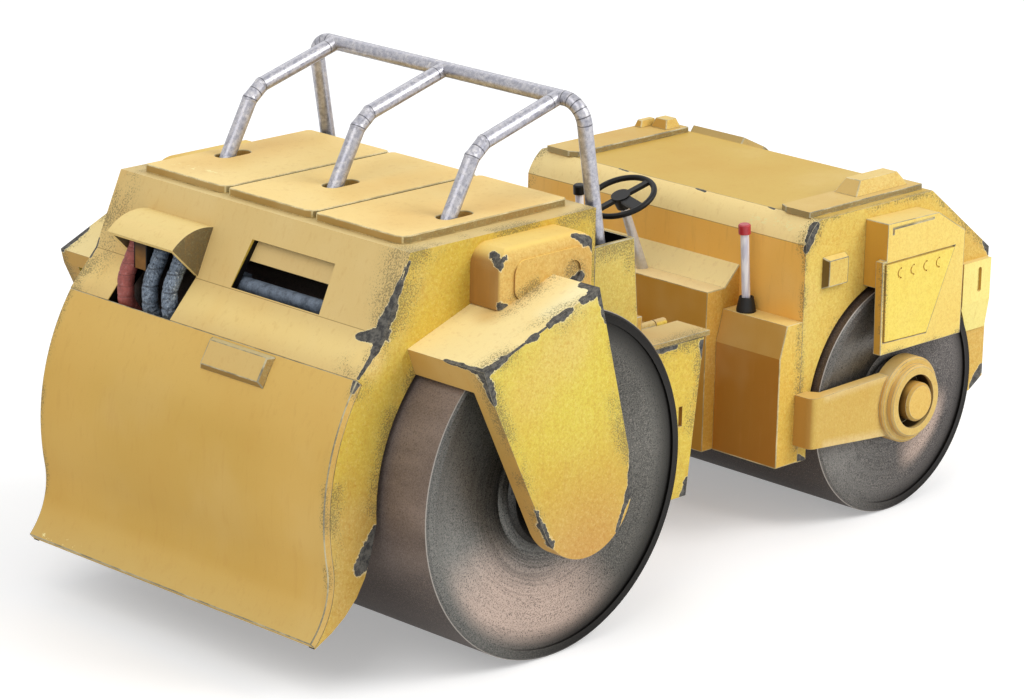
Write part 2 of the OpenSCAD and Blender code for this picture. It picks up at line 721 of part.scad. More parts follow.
module centre_console() color(ochre) place() across(-console_hw, console_hw)
    polygon([[cab_x, skirt_z], [cab_x, console_top + 6.2], [118.4, console_top], [console_x, console_top],
        [console_x, skirt_z]]);

module side_console() across(console_hw, front_hw)
    polygon([[cab_x, skirt_z], [cab_x, side_top], [117.8, side_top], [side_console_x, 58.3],
        [side_console_x, skirt_z]]);

module side_console_left() color(ochre) place() side_console();
module side_console_right() color(ochre) place() right() side_console();

// Box beside the drum with a deep skirt plate; its lower half stands clear of the drum
module side_shield() place() difference() {
    union() {
        across(front_hw, shield_y) polygon([[152.2, 74.4], [152.2, 95.2], [176.4, 94.8], [189.6, 87],
            [189.6, 74.4]]);
        across(shield_y - shield_t, shield_y) polygon([[151.2, 54.2], [150.4, 83.6], [153, 83.6], [153, 76],
            [189.6, 76], [189.6, 54]]);
    }
    across(shield_y - 0.7, shield_y + 1) polygon(access_outline(0));
    translate([154.6, shield_y - 0.4, 93.2]) cube([19.5, 1, 0.5]);
    translate([154.6, shield_y - 0.4, 91.6]) cube([0.5, 1, 2]);
}

// Outline of the access panel, drawn in by a gap
function access_outline(g) = [[152 + g, 58 + g], [151.4 + g, 82.9 - g], [185 - 1.7 * g, 82.9 - g],
    [172.8 - g, 57.4 + g]];

module side_shield_left() color(yellow) side_shield();
module side_shield_right() color(yellow) right() side_shield();

// Trapezoid panel with a row of half-round grooves
module access_panel() difference() {
    across(shield_y - 0.7, shield_y + 0.4) polygon(access_outline(0.4));
    for (i = [0:3]) across(shield_y, shield_y + 1) intersection() {
        ring_2d([158.9 + 6.1 * i, 79], 1.25, 1.75);
        translate([156.9 + 6.1 * i, 76]) square([2.2, 6]);
    }
}

module access_panels() color(yellow) place() both() access_panel();

module marker_blocks() color(yellow) place() both()
    translate([132.6, front_hw, 86.7]) rotate([-90, 0, 0]) bevelled_plate(10.6, 9.9, 2.2, 0.9);

// Boxes at the front corners, drawn in at the foot, with an upright slot in the side
module corner_boxes() color(yellow) place() both() difference() {
    translate([199, 0, 0]) rotate([90, 0, 90]) linear_extrude(13.6)
        polygon([[front_hw, 49.9], [front_hw + 0.6, 49.9], [front_hw + 2, 59.4], [front_hw + 2, 72.6],
            [front_hw, 72.6]]);
    across(front_hw + 1, front_hw + 3) round_rect([206.2, 62.4], [208, 70.4], 0.88);
    cross_rod(front_axle, front_drum_r + 1, front_hw - 1, front_hw + 4);
}

// Arm from a bracket on the body to the stepped bearing ring of the front drum
module swing_arm() place() difference() {
    low = arm_z[0][0];
    high = arm_z[0][1];
    union() {
        across(arm_y[0], arm_y[1]) {
            polygon([[125, low], [125, high], [front_axle[0], arm_z[1][1]], [front_axle[0], arm_z[1][0]]]);
            translate(front_axle) circle(ring_r[0]);
        }
        translate([0, 0, low]) linear_extrude(high - low)
            polygon([[122.4, front_hw], [122.4, arm_y[1] - 2.6], [125, arm_y[1] - 2.6], [125, arm_y[1]],
                [130, arm_y[1]], [130, arm_y[0]], [127.8, front_hw]]);
        translate([125, arm_y[1] - 2.6, low]) cylinder(r = 2.6, h = high - low);
        turned(front_axle, [[4, arm_y[0]], [ring_r[0], arm_y[0]], [ring_r[0], ring_y[0] - 0.6],
            [ring_r[0] - 0.6, ring_y[0]], [ring_r[1], ring_y[0]], [ring_r[1], ring_y[1] - 0.6],
            [ring_r[1] - 0.6, ring_y[1]], [4, ring_y[1]]]);
    }
    cross_rod(front_axle, axle_r, arm_y[0] - 1, ring_y[1]);
    cross_rod(front_axle, ring_hole_r, ring_floor, ring_y[1] + 1);
}

module swing_arm_left() color(yellow) swing_arm();
module swing_arm_right() color(yellow) right() swing_arm();

module front_axle() color(steel) place() cross_rod(front_axle, axle_r, -ring_floor, ring_floor);

module front_hub_caps() color(yellow) place() both() turned(front_axle, [[0, ring_floor],
    [hub_cap_r, ring_floor], [hub_cap_r, hub_cap_y - 0.8], [hub_cap_r - 0.8, hub_cap_y], [0, hub_cap_y]]);

// Clevis that takes the rear frame's tongue
module front_hitch() color(ochre) place() {
    lower = pivot_z[0] - clevis_gap - clevis_t;
    upper = pivot_z[1] + clevis_gap;
    difference() {
        union() {
            translate([console_x - 3, -15, lower - 3]) cube([3, 30, upper + clevis_t + 6 - lower]);
            for (z = [lower, upper]) {
                translate([pivot_x, -hitch_r, z]) cube([console_x - pivot_x - 2, 2 * hitch_r, clevis_t]);
                translate([pivot_x, 0, z]) cylinder(r = hitch_r, h = clevis_t);
            }
            for (y = [-hitch_r, hitch_r - 2.2]) translate([pivot_x + 13, y, lower])
                cube([console_x - pivot_x - 15, 2.2, upper + clevis_t - lower]);
        }
        translate([pivot_x, 0, lower - 1]) cylinder(r = hitch_pin_r, h = upper + clevis_t + 2 - lower);
    }
}

module hitch_pin() color(steel) place() {
    lower = pivot_z[0] - clevis_gap - clevis_t;
    upper = pivot_z[1] + clevis_gap + clevis_t;
    translate([pivot_x, 0, lower - 2]) cylinder(r = hitch_pin_r, h = upper - lower + 3);
    translate([pivot_x, 0, upper]) cylinder(r = 5, h = 2);
    translate([pivot_x, 0, lower - 2]) cylinder(r = 4.4, h = 2);
}

// ---------- steering and levers ----------

module on_column() translate(at(column_foot, 0)) rotate([0, -column_lean, 0]) children();

module steering_column() color(silver) place() difference() {
    on_column() {
        translate([0, 0, -3]) cylinder(r1 = column_r[0], r2 = column_r[1], h = column_l);
        translate([0, 0, column_l - 3]) cylinder(r = column_r[1], h = 3);
    }
    translate([column_foot[0] - 8, -5, column_foot[1] - 8]) cube([16, 10, 8]);
}

// Wheel on a boss, with a bar across and one broad spoke
module steering_wheel() color(dark) place() on_column() translate([0, 0, column_l]) {
    translate([0, 0, 2]) rotate_extrude() translate([wheel_r, 0]) circle(rim_r, $fn = 32);
    difference() {
        translate([0, 0, -1.6]) cylinder(r1 = 2.2, r2 = 3, h = 4.4);
        translate([0, 0, -2]) cylinder(r = column_r[1] + pin_fit, h = 2.1);
    }
    for (spoke = [[-18, 1.9], [162, 1.9], [255, 3.4]]) rotate([0, 0, spoke[0]])
        translate([1, -spoke[1] / 2, 1.4]) cube([wheel_r - 1.2, spoke[1], 1.1]);
}

// Puts a lever's pivot at the origin and its length along Z
module at_pivot(i) translate(lever_spots[i] + [0, 0, lever_pivot]) rotate([0, -lever_lean, 0]) children();

// Barrel across the pivot with the pin through it, grown by a clearance
module lever_knuckle(fit) rotate([90, 0, 0]) {
    cylinder(r = knuckle_r + fit, h = 2 * (knuckle_hw + fit), center = true);
    cylinder(r = lever_pin_r + fit, h = 2 * (boot_r[1] + fit), center = true);
}

// Boot round a lever's knuckle; the throat lets the lever rock
module lever_boots() color(dark) place() for (i = [0, 1]) difference() {
    translate(lever_spots[i]) rotate_extrude()
        polygon([[0, 0], [boot_r[0], 0], [boot_r[0], 0.6], [boot_r[1], boot_h], [0, boot_h]]);
    at_pivot(i) {
        lever_knuckle(pin_fit);
        cylinder(r1 = lever_r + 0.1, r2 = lever_r + 0.8, h = boot_h);
    }
}

module lever(i) place() at_pivot(i) {
    lever_knuckle(0);
    cylinder(r = lever_r, h = lever_l[i]);
}

module lever_right() color("white") lever(0);
module lever_left() color("white") lever(1);

module lever_cap(i) place() at_pivot(i) translate([0, 0, lever_l[i]]) rotate_extrude()
    polygon([[0, 0], [cap_r, 0], [cap_r, cap_h - 0.4], [cap_r - 0.4, cap_h], [0, cap_h]]);

module lever_cap_red() color("#b5323a") lever_cap(0);
module lever_cap_black() color(dark) lever_cap(1);

rear_shell();
rear_apron();
hatch_left();
hatch_middle();
hatch_right();
hose_hood();
hose_red();
hoses_grey();
hose_manifold();
vent_flap();
vent_tube();
apron_plate();
roll_hoop();
cage_strut_left();
cage_strut_middle();
cage_strut_right();
yoke_left();
yoke_right();
side_tank_left();
side_tank_right();
cockpit_tub();
rear_frame();
step_box_left();
step_box_right();
step_lid_left();
step_lid_right();
lid_hinge_pins();
seat_base();
seat_cushions();
rear_axle();
rear_drum_shell();
rear_drum_ends();
rear_drum_bushes();
hitch_pin();
front_shell();
roof_strips();
strip_blocks();
nose_hatch();
centre_console();
side_console_left();
side_console_right();
side_shield_left();
side_shield_right();
access_panels();
marker_blocks();
corner_boxes();
swing_arm_left();
swing_arm_right();
front_axle();
front_hub_caps();
front_drum_shell();
front_drum_ends();
front_hitch();
steering_column();
steering_wheel();
lever_boots();
lever_left();
lever_right();
lever_cap_black();
lever_cap_red();
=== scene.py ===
"""Looks of the toy road roller: worn yellow sheet metal, brushed drums and a galvanised cage.

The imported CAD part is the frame. Its rigid nodes keep their shapes and get procedural materials, the
painted ones small rounded edges too, and the soft or ribbed pieces are modelled here. The toy's lengths
are in millimetres, and MM turns them into Blender's metres. Lamps, floor and clipping are in metres.
"""
import math

import bpy
from mathutils import Matrix, Vector, noise


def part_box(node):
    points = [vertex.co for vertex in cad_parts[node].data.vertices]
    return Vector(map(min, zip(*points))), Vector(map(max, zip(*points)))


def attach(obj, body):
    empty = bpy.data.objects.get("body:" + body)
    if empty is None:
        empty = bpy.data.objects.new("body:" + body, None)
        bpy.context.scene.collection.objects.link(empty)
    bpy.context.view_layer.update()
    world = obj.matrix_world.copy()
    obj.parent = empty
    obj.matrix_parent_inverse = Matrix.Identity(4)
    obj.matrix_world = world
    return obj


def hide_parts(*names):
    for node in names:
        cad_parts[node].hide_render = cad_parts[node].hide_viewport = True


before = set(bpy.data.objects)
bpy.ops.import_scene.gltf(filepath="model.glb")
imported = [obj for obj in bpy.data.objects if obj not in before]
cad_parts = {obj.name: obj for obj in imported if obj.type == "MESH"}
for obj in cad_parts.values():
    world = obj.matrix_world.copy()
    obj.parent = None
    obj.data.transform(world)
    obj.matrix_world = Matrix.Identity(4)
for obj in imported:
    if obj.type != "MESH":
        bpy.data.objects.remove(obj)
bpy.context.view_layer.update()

MM = 0.001
SKY = 0.62                                  # strength of the soft light from all round
KEY, FILL, BACK = 14, 9, 3                  # power of the lamps
FLOOR_GLOW = 0.34                           # makes the floor white to the camera where no shadow falls
WHITE_RAYS = ("Is Camera Ray", "Is Glossy Ray", "Is Transmission Ray")
LENS = 140.1                                # focal length in millimetres, for Blender's own sensor
CAMERA_PLACE = (-752.3, -791.3, 402.3)      # millimetres from the rear axle's ground point
CAMERA_AIM = (-45.75, 16.82, 1.24)          # azimuth, elevation and roll in degrees
LAMP_TARGET = Vector((0, 0, 0.07))          # metres
EDGE_ROUNDING = 0.3                         # millimetres
EDGE_ANGLE = 28                             # degrees; flatter folds stay as they are


def middle(node):
    """Centre of a CAD node's box, in metres."""
    low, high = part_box(node)
    return (low + high) / 2


REAR_AXLE = middle("rear_drum_shell") / MM
FRONT_AXLE = middle("front_drum_shell") / MM
REAR_R = REAR_AXLE.z
FRONT_R = FRONT_AXLE.z


def rear(x, y, z):
    """A point in millimetres, with x counted from the rear axle."""
    return Vector((REAR_AXLE.x + x, y, z))


def front(x, y, z):
    """A point in millimetres, with x counted from the front axle."""
    return Vector((FRONT_AXLE.x + x, y, z))


# ---------- camera and light ----------

def aim(azimuth, elevation, roll):
    """Rotation of a camera or lamp that looks along that azimuth (0 is +Y) and downwards."""
    turn = Matrix.Rotation(math.radians(azimuth), 4, "Z")
    tip = Matrix.Rotation(math.radians(90 - elevation), 4, "X")
    return turn @ tip @ Matrix.Rotation(math.radians(roll), 4, "Z")


def add_camera():
    data = bpy.data.cameras.new("camera")
    data.lens = LENS
    data.clip_start = 0.05
    data.clip_end = 20
    camera = bpy.data.objects.new("camera", data)
    bpy.context.scene.collection.objects.link(camera)
    place = rear(*CAMERA_PLACE) * MM
    camera.matrix_world = Matrix.Translation(place) @ aim(*CAMERA_AIM)
    bpy.context.scene.camera = camera


def add_lamp(name, azimuth, elevation, distance, size, power, tint=(1, 1, 1)):
    """A square area lamp that shines on the middle of the toy."""
    data = bpy.data.lights.new(name, "AREA")
    data.size = size
    data.energy = power
    data.color = tint
    lamp = bpy.data.objects.new(name, data)
    bpy.context.scene.collection.objects.link(lamp)
    turn = aim(azimuth, elevation, 0)
    lamp.matrix_world = Matrix.Translation(LAMP_TARGET) @ turn @ Matrix.Translation((0, 0, distance))


def seen_directly(nodes, links):
    """A socket that is 1 for the rays by which camera, metal or glass see the background, else 0."""
    path = nodes.new("ShaderNodeLightPath")
    seen = path.outputs[WHITE_RAYS[0]]
    for ray in WHITE_RAYS[1:]:
        either = nodes.new("ShaderNodeMath")
        either.operation = "MAXIMUM"
        links.new(seen, either.inputs[0])
        links.new(path.outputs[ray], either.inputs[1])
        seen = either.outputs[0]
    return seen


def add_world():
    """A soft sky for the light, and plain white for what the camera, metal and glass see."""
    world = bpy.data.worlds.new("studio")
    bpy.context.scene.world = world
    world.use_nodes = True
    nodes = world.node_tree.nodes
    links = world.node_tree.links
    output = nodes["World Output"]
    sky = nodes["Background"]
    sky.inputs["Color"].default_value = (0.95, 0.97, 1.0, 1)
    sky.inputs["Strength"].default_value = SKY
    white = nodes.new("ShaderNodeBackground")
    white.inputs["Color"].default_value = (1, 1, 1, 1)
    white.inputs["Strength"].default_value = 1.0
    mix = nodes.new("ShaderNodeMixShader")
    links.new(seen_directly(nodes, links), mix.inputs["Fac"])
    links.new(sky.outputs[0], mix.inputs[1])
    links.new(white.outputs[0], mix.inputs[2])
    links.new(mix.outputs[0], output.inputs["Surface"])


def add_floor():
    """A pale floor that stays white to the camera where no shadow falls."""
    bpy.ops.mesh.primitive_plane_add(size=14, location=(0, 0, -0.0001))
    floor = bpy.context.object
    floor.name = "floor"
    material = bpy.data.materials.new("floor")
    material.use_nodes = True
    nodes = material.node_tree.nodes
    links = material.node_tree.links
    matt = nodes["Principled BSDF"]
    matt.inputs["Base Color"].default_value = (0.80, 0.80, 0.80, 1)
    matt.inputs["Roughness"].default_value = 0.9
    matt.inputs["Specular IOR Level"].default_value = 0.1
    glow = nodes.new("ShaderNodeEmission")
    glow.inputs["Strength"].default_value = FLOOR_GLOW
    both = nodes.new("ShaderNodeAddShader")
    links.new(matt.outputs[0], both.inputs[0])
    links.new(glow.outputs[0], both.inputs[1])
    mix = nodes.new("ShaderNodeMixShader")
    links.new(seen_directly(nodes, links), mix.inputs["Fac"])
    links.new(matt.outputs[0], mix.inputs[1])
    links.new(both.outputs[0], mix.inputs[2])
    links.new(mix.outputs[0], nodes["Material Output"].inputs["Surface"])
    floor.data.materials.append(material)


# ---------- materials ----------

def colour(code):
    """Linear colour from a hex code such as d9a94f; anything that isn't a code stays as it is."""
    if not isinstance(code, str):
        return code
    parts = [int(code[i:i + 2], 16) / 255 for i in (0, 2, 4)]
    return (*[c / 12.92 if c < 0.04045 else ((c + 0.055) / 1.055) ** 2.4 for c in parts], 1)


class Surface:
    """One node material. Each method adds nodes and returns the socket that they end in."""

    def __init__(self, name, roughness=0.5, metallic=0.0, specular=0.5):
        self.material = bpy.data.materials.new(name)
        self.material.use_nodes = True
        self.nodes = self.material.node_tree.nodes
        self.links = self.material.node_tree.links
        self.shader = self.nodes["Principled BSDF"]
        self.shader.inputs["Roughness"].default_value = roughness
        self.shader.inputs["Metallic"].default_value = metallic
        self.shader.inputs["Specular IOR Level"].default_value = specular
        coordinates = self.nodes.new("ShaderNodeTexCoord")
        self.normal = coordinates.outputs["Normal"]
        scaled = self.put("VectorMath", {0: coordinates.outputs["Object"], "Scale": 1 / MM},
                          operation="SCALE")
        self.point = scaled.outputs[0]                      # in millimetres
        self.x, self.y, self.z = self.split(self.point)
        self.side_y = self.math("ABSOLUTE", self.y)         # the same on both sides of the machine
        self.folded = self.put("CombineXYZ", {"X": self.x, "Y": self.side_y, "Z": self.z}).outputs[0]
        self.in_plane = self.put("CombineXYZ", {"X": self.x, "Z": self.z}).outputs[0]

    def put(self, kind, inputs=None, **settings):
        """A new node with those settings, fed from values or sockets."""
        node = self.nodes.new("ShaderNode" + kind)
        for key, value in settings.items():
            setattr(node, key, value)
        for key, value in (inputs or {}).items():
            self.feed(node.inputs[key], value)
        return node

    def feed(self, socket, value):
        if isinstance(value, bpy.types.NodeSocket):
            self.links.new(value, socket)
        else:
            socket.default_value = value

    def split(self, vector):
        node = self.put("SeparateXYZ", {0: vector})
        return node.outputs[0], node.outputs[1], node.outputs[2]

    def math(self, operation, a, b=0.0, c=0.0):
        return self.put("Math", {0: a, 1: b, 2: c}, operation=operation).outputs[0]

    def plus(self, a, b):
        return self.math("ADD", a, b)

    def minus(self, a, b):
        return self.math("SUBTRACT", a, b)

    def times(self, a, b):
        return self.math("MULTIPLY", a, b)

    def step(self, value, low, high, start=0.0, end=1.0):
        """Smooth step of value from start at low to end at high."""
        node = self.put("MapRange", {"Value": value, "From Min": low, "From Max": high,
                                     "To Min": start, "To Max": end}, interpolation_type="SMOOTHSTEP")
        return node.outputs["Result"]

    def mix(self, share, a, b, blend="MIX"):
        """Colour that goes from a to b; either is a hex code, a colour or a socket."""
        node = self.put("Mix", {0: share, 6: colour(a), 7: colour(b)}, data_type="RGBA", blend_type=blend)
        return node.outputs[2]

    def noise(self, scale, detail=2.0, roughness=0.5, point=None, distortion=0.0):
        """Noise with that many cells per millimetre."""
        node = self.put("TexNoise", {"Vector": point or self.point, "Scale": scale, "Detail": detail,
                                     "Roughness": roughness, "Distortion": distortion})
        return node.outputs["Fac"]

    def stretch(self, x, y, z):
        """The point with each axis scaled."""
        node = self.put("VectorMath", {0: self.point, 1: (x, y, z)}, operation="MULTIPLY")
        return node.outputs[0]

    def distance(self, place):
        """Distance from place as the machine's side shows it, in millimetres."""
        node = self.put("VectorMath", {0: self.in_plane, 1: (place.x, 0, place.z)}, operation="DISTANCE")
        return node.outputs["Value"]

    def along(self, place, direction):
        """How far the point lies from place in that direction, in millimetres."""
        offset = self.put("VectorMath", {0: self.point, 1: tuple(place)}, operation="SUBTRACT").outputs[0]
        node = self.put("VectorMath", {0: offset, 1: tuple(direction)}, operation="DOT_PRODUCT")
        return node.outputs["Value"]

    def reach(self, p, q, start, end=None, point=None):
        """Distance from the line between p and q, as a share of a radius that goes from start to end."""
        span = q - p
        point = point or self.point
        offset = self.put("VectorMath", {0: point, 1: tuple(p)}, operation="SUBTRACT").outputs[0]
        along = self.put("VectorMath", {0: offset, 1: tuple(span / span.length_squared)},
                         operation="DOT_PRODUCT").outputs["Value"]
        share = self.math("MINIMUM", self.math("MAXIMUM", along, 0.0), 1.0)
        foot = self.put("VectorMath", {0: tuple(span), "Scale": share}, operation="SCALE").outputs[0]
        gap = self.put("VectorMath", {0: offset, 1: foot}, operation="DISTANCE").outputs["Value"]
        if end is None or end == start:
            return self.math("DIVIDE", gap, start)
        return self.math("DIVIDE", gap, self.math("MULTIPLY_ADD", share, end - start, start))

    def nearest(self, distances):
        """The least of those sockets."""
        low = distances[0]
        for d in distances[1:]:
            low = self.math("MINIMUM", low, d)
        return low

    def finish(self, base, bumps=()):
        """Sets the base colour and stacks the bumps: height, strength and depth in millimetres."""
        self.feed(self.shader.inputs["Base Color"], base)
        normal = None
        for height, strength, depth in bumps:
            node = self.put("Bump", {"Height": height, "Strength": strength, "Distance": depth * MM})
            if normal:
                self.links.new(normal, node.inputs["Normal"])
            normal = node.outputs["Normal"]
        if normal:
            self.links.new(normal, self.shader.inputs["Normal"])
        return self.material


def facing_colours(s, side, top, end, slope):
    """Painted light and shade: a lighter or darker copy of the paint by the direction a face looks in. Also
    returns the share by which a face looks sideways.
    """
    nx, ny, nz = s.split(s.normal)
    sideways = s.step(s.math("ABSOLUTE", ny), 0.5, 0.9)
    upwards = s.step(nz, 0.35, 0.9)
    base = s.mix(upwards, s.mix(sideways, end, side), top)
    if slope:
        tilted = s.times(s.step(s.math("ABSOLUTE", nx), 0.30, 0.45), s.step(nz, 0.20, 0.40))
        base = s.mix(tilted, base, slope)
    return base, sideways


def mottled(s, base, sideways, texture, fine):
    """Warm and pale clouds, upright streaks, and on the sides the small marks of sprayed, rubbed paint."""
    clouds = s.noise(0.024, 3, 0.55)
    warm = s.step(clouds, 0.46, 0.72, 0, 0.30 * texture)
    base = s.mix(warm, base, s.mix(1.0, base, "f2d4a0", "MULTIPLY"))
    base = s.mix(s.step(clouds, 0.28, 0.48, 0.14 * texture, 0), base, "f3e3ae")
    streaks = s.noise(0.5, 3, 0.7, s.stretch(1, 1, 0.12))
    base = s.mix(s.step(streaks, 0.52, 0.72, 0, 0.16), base, "c08a45")
    base = s.mix(s.times(s.step(fine, 0.50, 0.64, 0, 0.30 * texture), sideways), base, "c39a48")
    base = s.mix(s.times(s.step(fine, 0.48, 0.36, 0, 0.15 * texture), sideways), base, "fff2a6")
    curls = s.noise(0.95, 4, 0.68, distortion=0.9)
    brushed = s.times(s.step(curls, 0.44, 0.64, 0, 0.34 * texture), sideways)
    base = s.mix(brushed, base, s.mix(1.0, base, "e8c494", "MULTIPLY"))
    dust_and_highlight = s.noise(2.1, 2, 0.7)
    return s.mix(s.step(dust_and_highlight, 0.62, 0.74, 0, 0.14), base, "8a7340")


def oversprayed(s, base, worn):
    """A grey-brown haze and dark specks beside the worn lines."""
    reach = s.nearest([s.reach(p, q, r, point=s.folded) for p, q, r in worn])
    haze = s.times(s.step(reach, 0.0, 1.0, 1, 0), s.step(s.noise(0.07, 3), 0.34, 0.60))
    base = s.mix(s.times(haze, 0.20), base, "a89a6c")
    grit = s.plus(s.noise(2.0, 2, 0.8), s.times(haze, 0.20))
    specks = s.times(s.step(grit, 0.63, 0.69), s.math("MINIMUM", s.times(haze, 2.0), 1.0))
    return s.mix(s.times(specks, 0.62), base, "665d42")


def scratched(s, base, flecks):
    """Small pale scratches near the given lines."""
    reach = s.nearest([s.reach(p, q, r) for p, q, r in flecks])
    field = s.minus(s.noise(0.75, 4, 0.75, s.stretch(0.7, 0.55, 1.1)), s.times(reach, 0.16))
    return s.mix(s.step(field, 0.50, 0.54, 0, 0.85), base, "f7e7a6")


def chipped(s, base, chips):
    """Bare grey metal with a ragged pale rim. Returns the colour and where the metal is bare."""
    reach = s.nearest([s.reach(*chip) for chip in chips])
    ragged = s.plus(s.times(s.noise(0.21, 5, 0.66), 2.6), -1.25)
    field = s.minus(s.minus(1.0, reach), ragged)
    bare = s.step(field, -0.03, 0.03)
    rim = s.times(s.step(field, -0.20, -0.04), s.minus(1.0, bare))
    base = s.mix(s.times(rim, 0.55), base, "f6ecc0")
    metal = s.mix(s.step(s.noise(0.7, 4, 0.7), 0.36, 0.66), "3f3e3d", "6c6962")
    return s.mix(bare, base, metal), bare


def painted_shade_inside(s, base, groups, half_width):
    """Painted shade: black on what lies inside the half width and inside one plane of each group."""
    depth = s.minus(half_width, s.side_y)
    for planes in groups:
        under = [s.times(s.along(place, outward), -1.0) for place, outward in planes]
        deepest = under[0]
        for other in under[1:]:
            deepest = s.math("MAXIMUM", deepest, other)
        depth = s.math("MINIMUM", depth, deepest)
    return s.mix(s.step(depth, 0.12, 0.3), base, "060606")


def yellow_paint(name, side, top, end, slope=None, tints=(), worn=(), chips=(), flecks=(), folds=(),
                 hollow=None, recess=None, texture=1.0):
    """Sprayed yellow, with light and shade painted in as its own colours for the sides, the top, the ends
    and the sloping panels.

    tints: lines (p, q, reach, colour, share) that tint the paint softly round them, some of them as painted
    light
    worn: lines (p, q, reach) with dark overspray beside them, the same on both sides of the machine
    chips: lines (p, q, start, end), with a radius at either end, where the paint has come off
    flecks: lines (p, q, radius) with small pale scratches
    folds: lines (p, q, half width) drawn as a thin dark crease
    hollow: groups of planes (point, outward direction) and a half width; what lies inside one plane of
        each group is painted black, as the shade inside the hollow
    recess: axle, radius, distance from the machine's middle and depth, where a round recess is painted dark
    as shade
    texture: how strong the mottling and the grain are
    """
    s = Surface(name, roughness=0.58, specular=0.16)
    base, sideways = facing_colours(s, side, top, end, slope)
    for p, q, reach, code, share in tints:
        near = s.step(s.reach(p, q, reach, point=s.folded), 0.0, 1.0, share, 0)
        base = s.mix(near, base, code)
    fine = s.noise(1.25, 3, 0.75, distortion=0.6)
    base = mottled(s, base, sideways, texture, fine)
    heights = [(fine, 0.10, 0.3), (s.times(fine, sideways), 0.45 * texture, 0.5)]
    if worn:
        base = oversprayed(s, base, worn)
    if folds:
        line = s.nearest([s.reach(p, q, half, point=s.folded) for p, q, half in folds])
        base = s.mix(s.step(line, 0.5, 1.0, 0.62, 0), base, "7d6234")
    if flecks:
        base = scratched(s, base, flecks)
    if chips:
        base, bare = chipped(s, base, chips)
        heights.append((bare, -0.7, 0.15))
    if hollow:
        base = painted_shade_inside(s, base, *hollow)
    # painted shade: the wall and floor of a round recess go almost black
    if recess:
        axle, radius, lip, depth = recess
        inside = s.times(s.step(s.distance(axle), radius + 0.15, radius + 0.05),
                         s.step(s.side_y, lip, lip - depth))
        base = s.mix(s.times(inside, 0.94), base, "241404")
    return s.finish(base, heights)


def edge_paint(name, light="c9bd96", dark="77715c"):
    """The thin rubbed line along a folded edge: pale paint with grey showing through."""
    s = Surface(name, roughness=0.5)
    rubbed = s.step(s.noise(0.16, 4, 0.6), 0.36, 0.62)
    fine = s.step(s.noise(1.4, 2, 0.6), 0.4, 0.7, 0, 0.5)
    base = s.mix(rubbed, light, dark)
    return s.finish(s.mix(fine, base, "a89c78"), [(s.noise(2.0, 2), 0.08, 0.2)])


